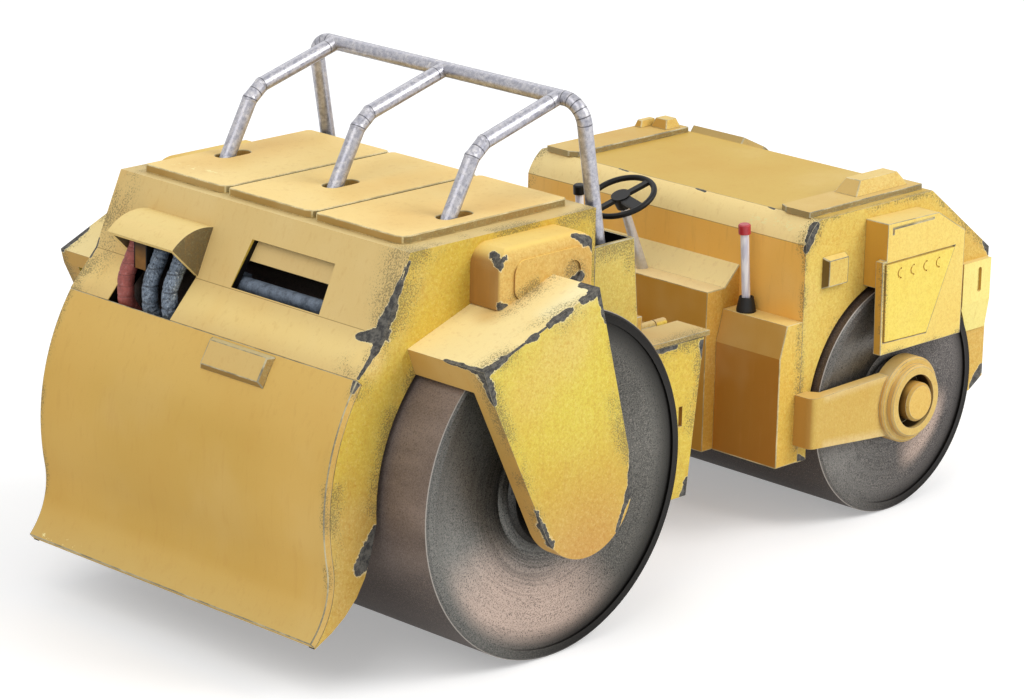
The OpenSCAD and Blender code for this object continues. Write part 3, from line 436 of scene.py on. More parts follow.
def drum_steel(name, axle, radius, dust_and_highlight, steel, light, dark):
    """Steel of a drum: a scuffed brown tread and dark turned faces with faint rings near the hub, with
    painted shade and a painted highlight.

    dust_and_highlight: degrees above the machine's front where a speckled pink-brown painted highlight lies
    on
        the face, how narrow its sector is and the share of the radius where it ends
    steel: the face's greys, behind and ahead of the axle
    light, dark: the tread's two browns
    """
    s = Surface(name, roughness=0.46)
    sideways = s.math("ABSOLUTE", s.split(s.normal)[1])
    dx = s.minus(s.x, axle.x)
    dz = s.minus(s.z, axle.z)
    r = s.math("MAXIMUM", s.math("SQRT", s.plus(s.times(dx, dx), s.times(dz, dz))), 1.0)
    share = s.math("DIVIDE", r, radius)
    specks = s.noise(2.4, 3, 0.9)
    ring_point = s.put("CombineXYZ", {"X": r, "Y": s.times(dx, 0.02), "Z": s.times(dz, 0.02)}).outputs[0]
    rings = s.noise(1.5, 4, 0.75, ring_point)
    near_hub = s.step(share, 0.30, 0.80, 1, 0.18)
    ahead = s.math("DIVIDE", dx, r)

    face = s.mix(s.step(ahead, -0.9, 0.7), steel[0], steel[1])
    # painted highlight: a speckled pink-brown wedge on the face, out from the hub
    highlight_angle, narrow, reach = dust_and_highlight
    towards = Vector((math.cos(math.radians(highlight_angle)), 0, math.sin(math.radians(highlight_angle))))
    facing = s.math("DIVIDE", s.along(Vector((axle.x, 0, axle.z)), towards), r)
    sector = s.times(s.step(facing, narrow, 0.99), s.step(share, 0.38, 0.66))
    sector = s.times(sector, s.step(share, reach, reach - 0.14))
    sector = s.times(sector, s.step(specks, 0.30, 0.60, 0.45, 1.0))
    face = s.mix(sector, face, "d4bcad")
    face = s.mix(s.times(s.step(rings, 0.42, 0.62, 0, 0.6), near_hub), face, "2b2a2a")
    face = s.mix(s.step(specks, 0.52, 0.64, 0, 0.50), face, "a39a93")
    face = s.mix(s.step(specks, 0.48, 0.36, 0, 0.85), face, "232221")
    # painted shade: the face goes nearly black in the dish round the hub
    face = s.mix(s.step(share, 0.43, 0.29, 0, 0.93), face, "0d0c0c")
    # painted shade: a dark band inside the rim, strongest ahead of the axle
    rim = s.plus(share, s.times(s.minus(specks, 0.5), 0.3))
    rim = s.times(s.step(rim, 0.80, 0.96), s.step(ahead, -0.6, 0.3, 0.15, 0.92))
    face = s.mix(rim, face, "1a1817")

    worn = s.noise(0.05, 4, 0.6, s.stretch(1, 0.4, 1))
    tread = s.mix(s.step(worn, 0.30, 0.72), dark, light)
    # painted shade: the tread darkens towards the ground
    tread = s.mix(s.step(s.z, axle.z * 1.1, axle.z * 0.30, 0, 0.80), tread, "2e2825")
    tread = s.mix(s.step(specks, 0.53, 0.66, 0, 0.35), tread, "a8988d")
    tread = s.mix(s.step(specks, 0.48, 0.38, 0, 0.5), tread, "2b2624")

    is_face = s.math("MAXIMUM", s.step(sideways, 0.35, 0.45), s.step(share, 0.97, 0.96))
    base = s.mix(is_face, tread, face)
    rubbed = s.times(s.step(sideways, 0.30, 0.45), s.step(share, 1 - 0.30 / radius, 1 - 0.15 / radius))
    base = s.mix(s.times(rubbed, 0.7), base, "b7b0a8")
    s.feed(s.shader.inputs["Metallic"], s.math("MULTIPLY_ADD", is_face, 0.55, 0.3))
    s.feed(s.shader.inputs["Roughness"], s.math("MULTIPLY_ADD", is_face, -0.12, 0.60))
    s.feed(s.shader.inputs["Anisotropic"], s.times(is_face, 0.8))
    tangent = s.put("Tangent", direction_type="RADIAL", axis="Y")
    s.links.new(tangent.outputs[0], s.shader.inputs["Tangent"])
    return s.finish(base, [(s.times(rings, near_hub), 0.10, 0.12), (s.noise(1.5, 4, 0.85), 0.14, 0.12)])


def galvanised(name, seams=(), bends=None):
    """Zinc-coated tube with a soft blue-grey spangle.

    seams: (point, direction) of each weld ring across a tube
    bends: a function that returns a mask of the fine rings in the hoop's bent corners
    """
    s = Surface(name, roughness=0.36, metallic=0.7)
    blotch = s.noise(0.60, 4, 0.62, distortion=0.5)
    spangle = s.put("TexVoronoi", {"Vector": s.point, "Scale": 0.9}, feature="F1").outputs["Distance"]
    fine = s.noise(2.6, 2, 0.7)
    base = s.mix(s.step(blotch, 0.34, 0.66), "a4a4ae", "c8c6ca")
    base = s.mix(s.step(spangle, 0.2, 0.8, 0, 0.22), base, "7b7d8a")
    base = s.mix(s.step(fine, 0.54, 0.68, 0, 0.50), base, "66646b")
    base = s.mix(s.step(blotch, 0.62, 0.74, 0, 0.4), base, "eae4d8")
    marks = []
    for place, axis in seams:
        elsewhere = s.step(s.distance(place), 4.0, 4.2, 0, 9)
        marks.append(s.math("DIVIDE", s.plus(s.math("ABSOLUTE", s.along(place, axis)), elsewhere), 0.22))
    if bends:
        marks.append(bends(s))
    base = s.mix(s.step(s.nearest(marks), 0.4, 1.0, 0.75, 0), base, "34343a")
    s.feed(s.shader.inputs["Roughness"], s.step(blotch, 0.35, 0.65, 0.28, 0.46))
    return s.finish(base, [(blotch, 0.08, 0.2)])


def plain(name, code, roughness=0.5, metallic=0.0, specular=0.5):
    """One colour with a fine darker grain."""
    s = Surface(name, roughness, metallic, specular)
    base = colour(code)
    dark = (base[0] * 0.55, base[1] * 0.55, base[2] * 0.55, 1)
    cloud = s.noise(0.8, 3, 0.6)
    return s.finish(s.mix(s.step(cloud, 0.4, 0.7, 0, 0.35), base, dark), [(cloud, 0.08, 0.15)])


def hose_rubber(name, light, dark, crackle, pitch=0.0):
    """Hose cover, from smooth (crackle 0) to crackled (1).

    pitch: millimetres from one dark groove to the next, or 0 for a cover without grooves
    """
    s = Surface(name, roughness=0.62)
    patches = s.noise(0.35, 4, 0.65)
    fine = s.noise(1.7, 4, 0.8, s.stretch(1, 1, 0.75))
    base = s.mix(s.step(patches, 0.35, 0.7), light, dark)
    base = s.mix(s.step(fine, 0.50, 0.40, 0, 0.20 + 0.65 * crackle), base, "22262c")
    base = s.mix(s.step(fine, 0.56, 0.66, 0, 0.15 + 0.70 * crackle), base, "c3ccd4")
    if pitch:
        turns = s.plus(s.math("DIVIDE", s.minus(s.z, HOSE_Z[0]), pitch), GROOVE_PHASE)
        wavy = s.plus(turns, s.times(s.noise(0.5, 2), 0.12))
        gap = s.math("ABSOLUTE", s.minus(s.math("FRACT", wavy), 0.5))
        base = s.mix(s.step(gap, 0.02, 0.07, 0.35 + 0.3 * crackle, 0), base, "1a1c22")
    return s.finish(base, [(fine, 0.2 + 0.3 * crackle, 0.3)])


def white_gloss(name):
    """White lacquer with faint upright streaks."""
    s = Surface(name, roughness=0.28)
    streak = s.noise(0.9, 2, 0.5, s.stretch(1, 1, 0.1))
    return s.finish(s.mix(s.step(streak, 0.4, 0.65), "f2f1f4", "c9c8d6"))


# ---------- where the paint has worn, and where light and shade are painted ---

REAR_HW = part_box("rear_shell")[1].y / MM
FRONT_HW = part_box("front_shell")[1].y / MM
DECK_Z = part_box("rear_shell")[1].z / MM
HOOD_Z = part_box("front_shell")[1].z / MM
YOKE_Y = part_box("yoke_left")[1].y / MM
TANK_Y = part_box("side_tank_left")[1].y / MM
BOX_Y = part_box("step_box_left")[1].y / MM
BOX_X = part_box("step_box_left")[1].x / MM
TUB_LOW, TUB_HIGH = [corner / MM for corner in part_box("cockpit_tub")]
CAB_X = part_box("front_shell")[0].x / MM - FRONT_AXLE.x
NOSE_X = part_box("front_shell")[1].x / MM - FRONT_AXLE.x

UP = Vector((0, 0, 1))
UPPER_SLOPE = Vector((-0.895, 0, 0.446))     # outward directions of the rear unit's panels
LOWER_SLOPE = Vector((-0.735, 0, 0.678))
SLOPE_LOW = rear(-59.5, REAR_HW, 88.4)
SLOPE_MID = rear(-50, REAR_HW, 98.7)
SLOPE_TOP = rear(-40.5, REAR_HW, DECK_Z)
DECK_FRONT = rear(31.2, REAR_HW, DECK_Z)
YOKE_TAIL = rear(-41.2, YOKE_Y, 93.4)
YOKE_NOSE = rear(2.5, YOKE_Y, 108.6)
YOKE_ELBOW = rear(-38, YOKE_Y, 85.4)
HOOD_LOW = front(CAB_X, FRONT_HW, HOOD_Z - 7)
HOOD_REAR = front(CAB_X + 6, FRONT_HW, HOOD_Z)
HOOD_FRONT = front(16.6, FRONT_HW, HOOD_Z)
BROW = front(NOSE_X, FRONT_HW, 75.6)


def mirrored(*lines):
    """The same lines on the right side of the machine."""
    turned = []
    for p, q, *sizes in lines:
        turned.append((Vector((p.x, -p.y, p.z)), Vector((q.x, -q.y, q.z)), *sizes))
    return turned


def across(point):
    """A fold that runs over the whole width through that point."""
    return (Vector((point.x, 0, point.z)), point, 0.16)


def rear_paints():
    """The rear unit's paints, each with the nodes that have it."""
    body_wear = [(SLOPE_LOW, SLOPE_MID, 15), (SLOPE_MID, SLOPE_TOP, 15), (SLOPE_TOP, DECK_FRONT, 8),
                 (DECK_FRONT, rear(31.2, REAR_HW, 100), 9),
                 (rear(-71, REAR_HW, 30), rear(-67, REAR_HW, 72), 9),
                 (rear(-52, REAR_HW, 44), rear(-44, REAR_HW, 78), 11)]
    arch = [rear(53 * math.cos(a), REAR_HW, REAR_R + 53 * math.sin(a)) for a in (3.9, 3.5, 3.1, 2.7, 2.3)]
    arch_wear = [(p, q, 6) for p, q in zip(arch, arch[1:])]
    slope_chips = mirrored(
        (rear(-40.9, REAR_HW - 0.3, 117.4), rear(-45.5, REAR_HW - 0.6, 108), 0.5, 1.1),
        (rear(-45.5, REAR_HW - 0.8, 108), rear(-50, REAR_HW - 1.8, 98.8), 1.2, 2.9),
        (rear(-50, REAR_HW - 3, 98.6), rear(-51.4, REAR_HW - 7.5, 97), 2.6, 1.4),
        (rear(-50.4, REAR_HW - 0.8, 97.8), rear(-54, REAR_HW, 94), 1.8, 0.9),
        (rear(-54, REAR_HW, 94), rear(-59, REAR_HW, 89), 0.9, 0.5),
        (rear(-52.4, REAR_HW, 45), rear(-57.4, REAR_HW, 35.5), 1.6, 2.6))
    slope_chips += [(rear(-49, REAR_HW, 101), rear(-52, REAR_HW, 96.4), 0.5, 0.8),
                    (rear(-66, REAR_HW, 27), rear(-69, REAR_HW, 22), 1.8, 1.2)]
    # painted shade: the shell's inside, under the slopes and the deck, is black
    hollow = [[(SLOPE_MID, UPPER_SLOPE), (SLOPE_MID, LOWER_SLOPE)], [(SLOPE_TOP, UP)]], REAR_HW
    body = yellow_paint("paint_rear_body", "d8bb4c", "d9c084", "d3ab5c", "dfc07e",
                        worn=body_wear + arch_wear, chips=slope_chips,
                        folds=[across(SLOPE_MID)], hollow=hollow,
                        tints=[(rear(-54.7, 0, 93.5), rear(-54.7, REAR_HW, 93.5), 9, "f4d68c", 0.9),
                               (rear(-62, REAR_HW, 20), rear(-57, REAR_HW, 45), 26, "c99f52", 0.75)])
    apron_wear = [(rear(-59.5, REAR_HW, 88.4), rear(-71, REAR_HW, 60), 4),
                  (rear(-71, REAR_HW, 60), rear(-69, REAR_HW, 30), 3)]
    scratches = [(rear(-74.5, REAR_HW - 2, 17.5), rear(-74, REAR_HW - 24, 17.5), 2.6)]
    apron = yellow_paint("paint_apron", "d0a85a", "dab974", "cfa754", slope="d5ae5c", worn=apron_wear,
                         flecks=scratches, texture=0.55,
                         # painted light: the apron is lighter towards its top
                         tints=[(rear(-60, 0, 87), rear(-60, REAR_HW, 87), 24, "e0b968", 0.85),
                                (rear(-72, REAR_HW - 12, 66), rear(-72, REAR_HW - 12, 40), 26,
                                 "dfb664", 0.4),
                                (rear(-75, 0, 15), rear(-75, REAR_HW, 15), 15, "d6bc7a", 0.5)],
                         chips=mirrored((SLOPE_LOW, rear(-61, REAR_HW, 86), 1.6, 0.9)))
    deck = yellow_paint("paint_deck", "857750", "f2d48c", "ad8c4e", texture=0.9,
                        flecks=[(rear(-30, 46, 122), rear(-28, 30, 122), 2.5)],
                        tints=[(rear(-26, 42, 122.5), rear(14, 46, 122.5), 17, "d8a95c", 0.4),
                               (rear(-16, 8, 122.5), rear(20, 8, 122.5), 13, "e3b866", 0.3)])
    yoke_wear = [(YOKE_TAIL, YOKE_NOSE, 9), (YOKE_TAIL, YOKE_ELBOW, 9),
                 (YOKE_NOSE, rear(17, YOKE_Y, 56), 9), (YOKE_ELBOW, rear(-17, YOKE_Y, 42), 7),
                 (rear(-15, TANK_Y, 101), rear(0, TANK_Y, 107), 8)]
    yoke_chips = mirrored(
        (rear(2.5, YOKE_Y, 108.4), rear(5.4, YOKE_Y, 98.5), 1.9, 0.8),
        (rear(2.2, YOKE_Y, 108.4), rear(-4, YOKE_Y, 106.2), 2.4, 1.2),
        (rear(1.8, YOKE_Y - 5.5, 108.3), rear(2.3, YOKE_Y, 108.3), 1.6, 2.2),
        (rear(-9, YOKE_Y, 104.5), rear(-16.5, YOKE_Y, 101.9), 1.5, 1.3),
        (rear(-16.5, YOKE_Y, 101.9), rear(-34, YOKE_Y, 95.7), 0.35, 0.5),
        (rear(-22, YOKE_Y, 100), rear(-25, YOKE_Y, 98.9), 1.3, 0.9),
        (rear(-40.8, YOKE_Y - 15, 93.6), rear(-41, YOKE_Y - 2, 93.6), 0.5, 1.3),
        (rear(-41, YOKE_Y, 93.2), rear(-34, YOKE_Y, 95.8), 2.7, 1.5),
        (rear(-40.5, YOKE_Y, 92), rear(-37, YOKE_Y, 84), 2.6, 0.9),
        (rear(-20.3, YOKE_Y, 49), rear(-15, YOKE_Y, 38.5), 1.6, 2.3),
        (rear(16.6, YOKE_Y, 60), rear(17.6, YOKE_Y, 49), 0.6, 1.6),
        (rear(17.6, YOKE_Y, 49), rear(12, YOKE_Y, 37), 1.6, 0.5))
    yoke_chips += [(rear(2, YOKE_Y, 108.4), rear(4.5, YOKE_Y, 100), 2.4, 1.0),
                   (rear(-39, YOKE_Y, 91), rear(-30, YOKE_Y, 95.2), 2.0, 1.2),
                   (rear(-28, YOKE_Y, 63), rear(-24, YOKE_Y, 55), 0.7, 1.5),
                   (rear(9.5, YOKE_Y, 35), rear(15, YOKE_Y, 42), 0.8, 1.3)]
    yoke = yellow_paint("paint_yoke", "dfcc54", "f8e2a2", "c69c52", worn=yoke_wear, chips=yoke_chips,
                        tints=[(rear(-3, YOKE_Y, 30), rear(4, YOKE_Y, 30), 48, "cfa25a", 1.0),
                               (rear(-24, YOKE_Y, 84), rear(-8, YOKE_Y, 96), 16, "e2c468", 0.6),
                               # painted highlight: a near-white patch on the yoke's top near its nose
                               (rear(-12, YOKE_Y - 4, 104), rear(1, YOKE_Y - 4, 108.5), 7, "fbf3c4", 0.7),
                               (rear(-20, TANK_Y - 2, 101), rear(-4, TANK_Y - 2, 106), 7, "c99d52", 0.6)])
    tank_chips = mirrored(
        (rear(-17.6, TANK_Y, 113.6), rear(-17.2, TANK_Y - 5, 118), 1.3, 1.8),
        (rear(-17.5, TANK_Y, 116), rear(-12.5, TANK_Y, 117.8), 1.5, 0.7),
        (rear(-18, TANK_Y, 103), rear(-15, TANK_Y, 102.4), 1.6, 1.1),
        (rear(11.5, TANK_Y - 1, 118), rear(17.6, TANK_Y, 115.4), 1.1, 2.2),
        (rear(17.6, TANK_Y, 115.4), rear(19, TANK_Y, 111), 1.6, 0.8),
        (rear(10.6, TANK_Y, 104.6), rear(13.6, TANK_Y, 106), 1.5, 1.5))
    tank_chips += [(rear(17, TANK_Y, 116), rear(18.6, TANK_Y, 109), 1.4, 1.0),
                   (rear(-16, TANK_Y, 117), rear(-10, TANK_Y, 118), 1.2, 0.8)]
    tank_wear = [(rear(10.4, TANK_Y, 108), rear(13, TANK_Y, 107), 7),
                 (rear(-16, TANK_Y, 103), rear(-4, TANK_Y, 107), 4)]
    tank = yellow_paint("paint_tank", "deb968", "eccb72", "a0743a", worn=tank_wear, chips=tank_chips)
    # painted shade: the tub's inside is black
    half_wall = 0.7
    inset = Vector((half_wall, 0, 0))
    tub_front = (rear(47.4, 0, 108.6) - inset, Vector((0.995, 0, 0.097)))
    tub_back = (TUB_LOW + inset, Vector((-1, 0, 0)))
    inner = [[tub_front], [tub_back]], TUB_HIGH.y - half_wall
    tub_wear = [(rear(31.2, REAR_HW, 108), rear(48, REAR_HW, 108), 9),
                (rear(47.4, REAR_HW, 108), rear(49, REAR_HW, 88), 9),
                (rear(34, REAR_HW, 86), rear(48, REAR_HW, 80), 8)]
    tub = yellow_paint("paint_tub", "dac260", "c6a85e", "c29a52", worn=tub_wear, hollow=inner)
    step_wear = [(Vector((BOX_X, BOX_Y, 73)), Vector((BOX_X - 5, BOX_Y, 26)), 8),
                 (Vector((BOX_X - 24, BOX_Y, 73)), Vector((BOX_X, BOX_Y, 73)), 8)]
    step_chips = mirrored((Vector((BOX_X - 5, BOX_Y, 30)), Vector((BOX_X - 6.5, BOX_Y, 26)), 1.6, 2.4),
                          (Vector((BOX_X - 0.5, BOX_Y, 71)), Vector((BOX_X, BOX_Y, 66)), 1.4, 0.7),
                          (Vector((BOX_X - 22, BOX_Y, 72.6)), Vector((BOX_X - 12, BOX_Y, 72.6)), 0.6, 0.8))
    step = yellow_paint("paint_step_box", "e3c854", "d0b37a", "a87e3e", worn=step_wear, chips=step_chips)
    lid = yellow_paint("paint_step_lid", "b39c62", "d2b87c", "a5854c", worn=step_wear)
    # painted shade: the dark grey-brown side colour of the hood's cheeks
    hood = yellow_paint("paint_hose_hood", "6f6347", "ead08a", "e6cb84", slope="eed28c", texture=0.5)
    plate = yellow_paint("paint_apron_plate", "8f7544", "cdbd8c", "967840", slope="dab974",
                         worn=[(rear(-60, -28, 87.5), rear(-60, -2, 87), 4)])
    flap = yellow_paint("paint_vent_flap", "a08046", "d6b878", "d6b878", slope="dcbe80", texture=0.5)
    frame_paint = yellow_paint("paint_rear_frame", "c9a24e", "caa55c", "9c7434")
    return {
        body: ["rear_shell"], apron: ["rear_apron"],
        deck: ["hatch_left", "hatch_middle", "hatch_right"],
        yoke: ["yoke_left", "yoke_right"], tank: ["side_tank_left", "side_tank_right"],
        tub: ["cockpit_tub"], step: ["step_box_left", "step_box_right"],
        lid: ["step_lid_left", "step_lid_right"], hood: ["hose_hood"],
        plate: ["apron_plate"], flap: ["vent_flap"], frame_paint: ["rear_frame"]}


def front_paints():
    """The front unit's paints, each with the nodes that have it."""
    body_wear = [(HOOD_LOW, HOOD_REAR, 7), (HOOD_LOW, front(CAB_X, FRONT_HW, 30), 3),
                 (HOOD_REAR, HOOD_FRONT, 3), (HOOD_FRONT, BROW, 4),
                 (front(-29, FRONT_HW, 60), front(-24, FRONT_HW, 68), 5)]
    body_chips = mirrored(
        (front(CAB_X + 0.3, FRONT_HW, 90), front(CAB_X + 3.5, FRONT_HW, 97.2), 1.2, 1.8),
        (front(NOSE_X - 2, FRONT_HW, 77.4), front(NOSE_X, FRONT_HW, 73.8), 1.6, 1.2),
        (front(NOSE_X - 0.4, FRONT_HW, 36), front(NOSE_X - 4, FRONT_HW, 31.4), 1.6, 2.0),
        (front(CAB_X, FRONT_HW, 25.6), front(CAB_X + 3, FRONT_HW, 24.6), 1.2, 1.0))
    body_chips += [(front(CAB_X + 0.6, FRONT_HW, 91), front(CAB_X + 3, FRONT_HW, 96), 0.4, 0.3),
                   (front(NOSE_X, FRONT_HW, 75), front(NOSE_X, FRONT_HW, 68), 1.8, 0.8),
                   (front(CAB_X + 5.6, -40, HOOD_Z), front(CAB_X + 6, -37.4, HOOD_Z), 0.45, 0.3),
                   (front(CAB_X + 5.6, -12, HOOD_Z), front(CAB_X + 6, -8, HOOD_Z), 0.5, 0.4),
                   (front(CAB_X + 5.6, 20, HOOD_Z), front(CAB_X + 6, 24, HOOD_Z), 0.4, 0.4)]
    scratches = [(front(CAB_X + 2.5, -FRONT_HW + 3, 96.5), front(CAB_X + 2, -FRONT_HW + 24, 95), 3.2)]
    body = yellow_paint("paint_front_body", "e3c765", "cfae5b", "f6c060", "fbe09b",
                        worn=body_wear, chips=body_chips, flecks=scratches,
                        folds=[across(HOOD_LOW), across(HOOD_REAR)],
                        tints=[(front(NOSE_X, 0, 55), front(NOSE_X, FRONT_HW, 55), 50, "dcb45e", 1.0)])
    console = yellow_paint("paint_console", "dba845", "f6dca0", "c9953a", "fde6a4")
    side_console = yellow_paint("paint_side_console", "e4c058", "ecca79", "b37a2c", "eac871",
                                worn=[(front(CAB_X, FRONT_HW, 66), front(CAB_X, FRONT_HW, 26), 5)])
    shield_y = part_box("side_shield_left")[1].y / MM
    shield_wear = [(front(-16, shield_y, 54), front(22, shield_y, 54), 3),
                   (front(-16, shield_y, 54), front(-16, shield_y, 83), 3)]
    shield = yellow_paint("paint_shield", "eed273", "e6ca7c", "c9983e", worn=shield_wear, texture=0.6)
    panel = yellow_paint("paint_access_panel", "efd766", "e2c66c", "c89c40", worn=shield_wear, texture=0.6)
    ring_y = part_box("swing_arm_left")[1].y / MM
    arm_y = ring_y - 3.6
    arm = yellow_paint("paint_swing_arm", "d2b05c", "dcb96e", "bc8c42",
                       tints=[(front(-38, arm_y, 46), front(-6, arm_y, 47), 3, "e6cf98", 0.6),
                              (front(-38, arm_y, 30), front(-6, arm_y, 27), 3, "e6cf98", 0.6),
                              (front(0, arm_y, FRONT_R), front(0, arm_y + 9, FRONT_R), 22, "ead08c", 0.5)],
                       recess=(FRONT_AXLE, 8.4, ring_y - 0.5, 1.2), texture=0.6)
    strip = yellow_paint("paint_roof_strip", "8f8058", "d3b26a", "9a8658")
    trim = yellow_paint("paint_trim", "dfc06a", "e0c278", "c69a4a")
    marker = yellow_paint("paint_marker", "e2c66c", "e6cc7c", "6b5426",
                          worn=[(front(-34.6, FRONT_HW, 87), front(-34.6, FRONT_HW, 96), 2.5)])
    hub = yellow_paint("paint_hub_cap", "e2bd66", "c99c4c", "7c5c28",
                       recess=(FRONT_AXLE, 6.1, ring_y - 0.2, 3.0), texture=0.6)
    corner = yellow_paint("paint_corner_box", "f4e48a", "e9d088", "c8a050", texture=0.4)
    nose = yellow_paint("paint_nose_hatch", "7b745c", "bfa56a", "6f6b58", "bfa56a",
                        worn=[(front(16, 0, 99), front(NOSE_X, 0, 80), 30)])
    hitch = yellow_paint("paint_front_hitch", "c9a24e", "caa55c", "9c7434")
    return {
        body: ["front_shell"], console: ["centre_console"],
        side_console: ["side_console_left", "side_console_right"],
        shield: ["side_shield_left", "side_shield_right"], panel: ["access_panels"],
        arm: ["swing_arm_left", "swing_arm_right"], hub: ["front_hub_caps"],
        strip: ["roof_strips"], trim: ["strip_blocks"], marker: ["marker_blocks"],
        corner: ["corner_boxes"], nose: ["nose_hatch"], hitch: ["front_hitch"]}


# ---------- nodes that keep their CAD shape ----------

def soften(obj):
    """Rounds a CAD node's sharp edges a little with modifiers, and gives them its second material."""
    weld = obj.modifiers.new("weld", "WELD")
    weld.merge_threshold = 0.002 * MM
    bevel = obj.modifiers.new("bevel", "BEVEL")
    bevel.width = EDGE_ROUNDING * MM
    bevel.segments = 2
    bevel.limit_method = "ANGLE"
    bevel.angle_limit = math.radians(EDGE_ANGLE)
    bevel.material = 1
    even = obj.modifiers.new("even", "WEIGHTED_NORMAL")
    even.keep_sharp = True


def dress(node, *materials):
    """Gives a CAD node those materials in place of its own."""
    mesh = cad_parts[node].data
    mesh.materials.clear()
    for material in materials:
        mesh.materials.append(material)


CAGE_LEAN = math.radians(10.5)
CAGE_TOP = rear(29.8, 0, 149.3)     # middle of the hoop's top tube
HOOP_HW = 54.5                      # from the machine's middle to the hoop's upright tubes
HOOP_BEND = 6.5
RINGS_PER_HALF_TURN = 10
TUBE_R = 2.3
STRUT_FOOT = rear(-13.4, 0, DECK_Z)
STRUT_ELBOW = rear(-2.4, 0, 140.2)
STRUT_BEND = 3.0                    # from the elbow to the weld ring on either side


def strut_seams():
    """Point and direction of each weld ring on a strut, in the machine's middle plane."""
    up = (STRUT_ELBOW - STRUT_FOOT).normalized()
    out = (CAGE_TOP - STRUT_ELBOW).normalized()
    return [(STRUT_ELBOW - STRUT_BEND * up, up), (STRUT_ELBOW, (up + out).normalized()),
            (STRUT_ELBOW + STRUT_BEND * out, out), (CAGE_TOP - (TUBE_R + 1.6) * out, out)]


def bend_rings(s):
    """Distance from the fine rings in the hoop's bent corners, as a share of a thin line."""
    up = Vector((-math.sin(CAGE_LEAN), 0, math.cos(CAGE_LEAN)))
    rise = s.plus(s.along(CAGE_TOP, up), HOOP_BEND)
    out = s.minus(s.side_y, HOOP_HW - HOOP_BEND)
    ring = s.times(s.math("ARCTAN2", rise, out), RINGS_PER_HALF_TURN / math.pi)
    gap = s.math("ABSOLUTE", s.minus(s.math("FRACT", s.plus(ring, 5.5)), 0.5))     # 0 at a whole ring
    beyond = s.math("MAXIMUM", s.step(rise, -0.5, -0.3, 9, 0), s.step(out, -0.5, -0.3, 9, 0))
    return s.plus(s.math("DIVIDE", gap, 0.10), beyond)


# ---------- hoses and cushions ----------

def mesh_object(name, vertices, faces, material):
    """A smooth-shaded object."""
    mesh = bpy.data.meshes.new(name)
    mesh.from_pydata([tuple(v) for v in vertices], [], faces)
    mesh.validate()
    for polygon in mesh.polygons:
        polygon.use_smooth = True
    mesh.materials.append(material)
    piece = bpy.data.objects.new(name, mesh)
    bpy.context.scene.collection.objects.link(piece)
    return piece


HOSE_R = 2.46
HOSE_X = -51.3                      # where the hoses' ends lie, from the rear axle
HOSE_Z = (80, 106.5)
HOSE_ROWS = (39, 28.6, 20.2)
HOSE_BOW = 4.9
BOW_OUT, BOW_BACK = 0.37, 0.52      # shares of the height where a hose is fully out and turns back
RED_PITCH, GREY_PITCH = 3.2, 4.9
GROOVE_PHASE = 0.35                 # in pitches; the first groove lies 0.5 less this above the lower end
GROOVE_WIDTH = 0.28
BRAID_STRANDS = 9
BRAID_PER_MM = 2.6


def bow(t):
    """How far a hose stands out at the share t of its height, from 0 at its ends to 1."""
    def ease(u):
        u = max(0.0, min(1.0, u))
        return u * u * (3 - 2 * u)
    return ease(t / BOW_OUT) * (1 - ease((t - BOW_BACK) / (1 - BOW_BACK)))


def hose(name, row, material, node, pitch, groove, rough, seed):
    """A grooved hose between its two housings, which bows towards the window."""
    rings = 170
    around = 36
    height = HOSE_Z[1] - HOSE_Z[0]
    vertices = []
    for i in range(rings + 1):
        t = i / rings
        length = t * height
        centre = rear(HOSE_X - HOSE_BOW * bow(t), row, HOSE_Z[0] + length)
        lean = -HOSE_BOW * (bow(t + 0.01) - bow(t - 0.01)) / (0.02 * height)
        side = Vector((1, 0, -lean)).normalized()
        nearest = abs((length / pitch + GROOVE_PHASE) % 1 - 0.5) * pitch
        cut = groove * math.exp(-(nearest / GROOVE_WIDTH) ** 2)
        for k in range(around):
            a = 2 * math.pi * k / around
            out = side * math.cos(a) + Vector((0, 1, 0)) * math.sin(a)
            place = centre + out * HOSE_R
            pit = noise.fractal(place * 0.9 + Vector((seed, 0, 0)), 0.6, 2.2, 4)
            turn, climb = a * BRAID_STRANDS, length * BRAID_PER_MM
            braid = math.sin(turn + climb) * math.sin(turn - climb)
            worn = 0.5 + 0.5 * max(-1.0, min(1.0, pit))
            radius = HOSE_R - cut - rough * worn - rough * 0.35 * (1 - braid)
            vertices.append((centre + out * radius) * MM)
    faces = [tuple(reversed(range(around))), tuple(range(rings * around, (rings + 1) * around))]
    for i in range(rings):
        for k in range(around):
            a = i * around + k
            b = i * around + (k + 1) % around
            faces.append((a, b, b + around, a + around))
    piece = mesh_object(name, vertices, faces, material)
    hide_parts(node)
    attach(piece, "rear_unit")


SEAMS = (-0.36, 0.36)               # shares of a cushion's half length
SEAM_DEPTH = 0.24
SEAM_WIDTH = 0.035


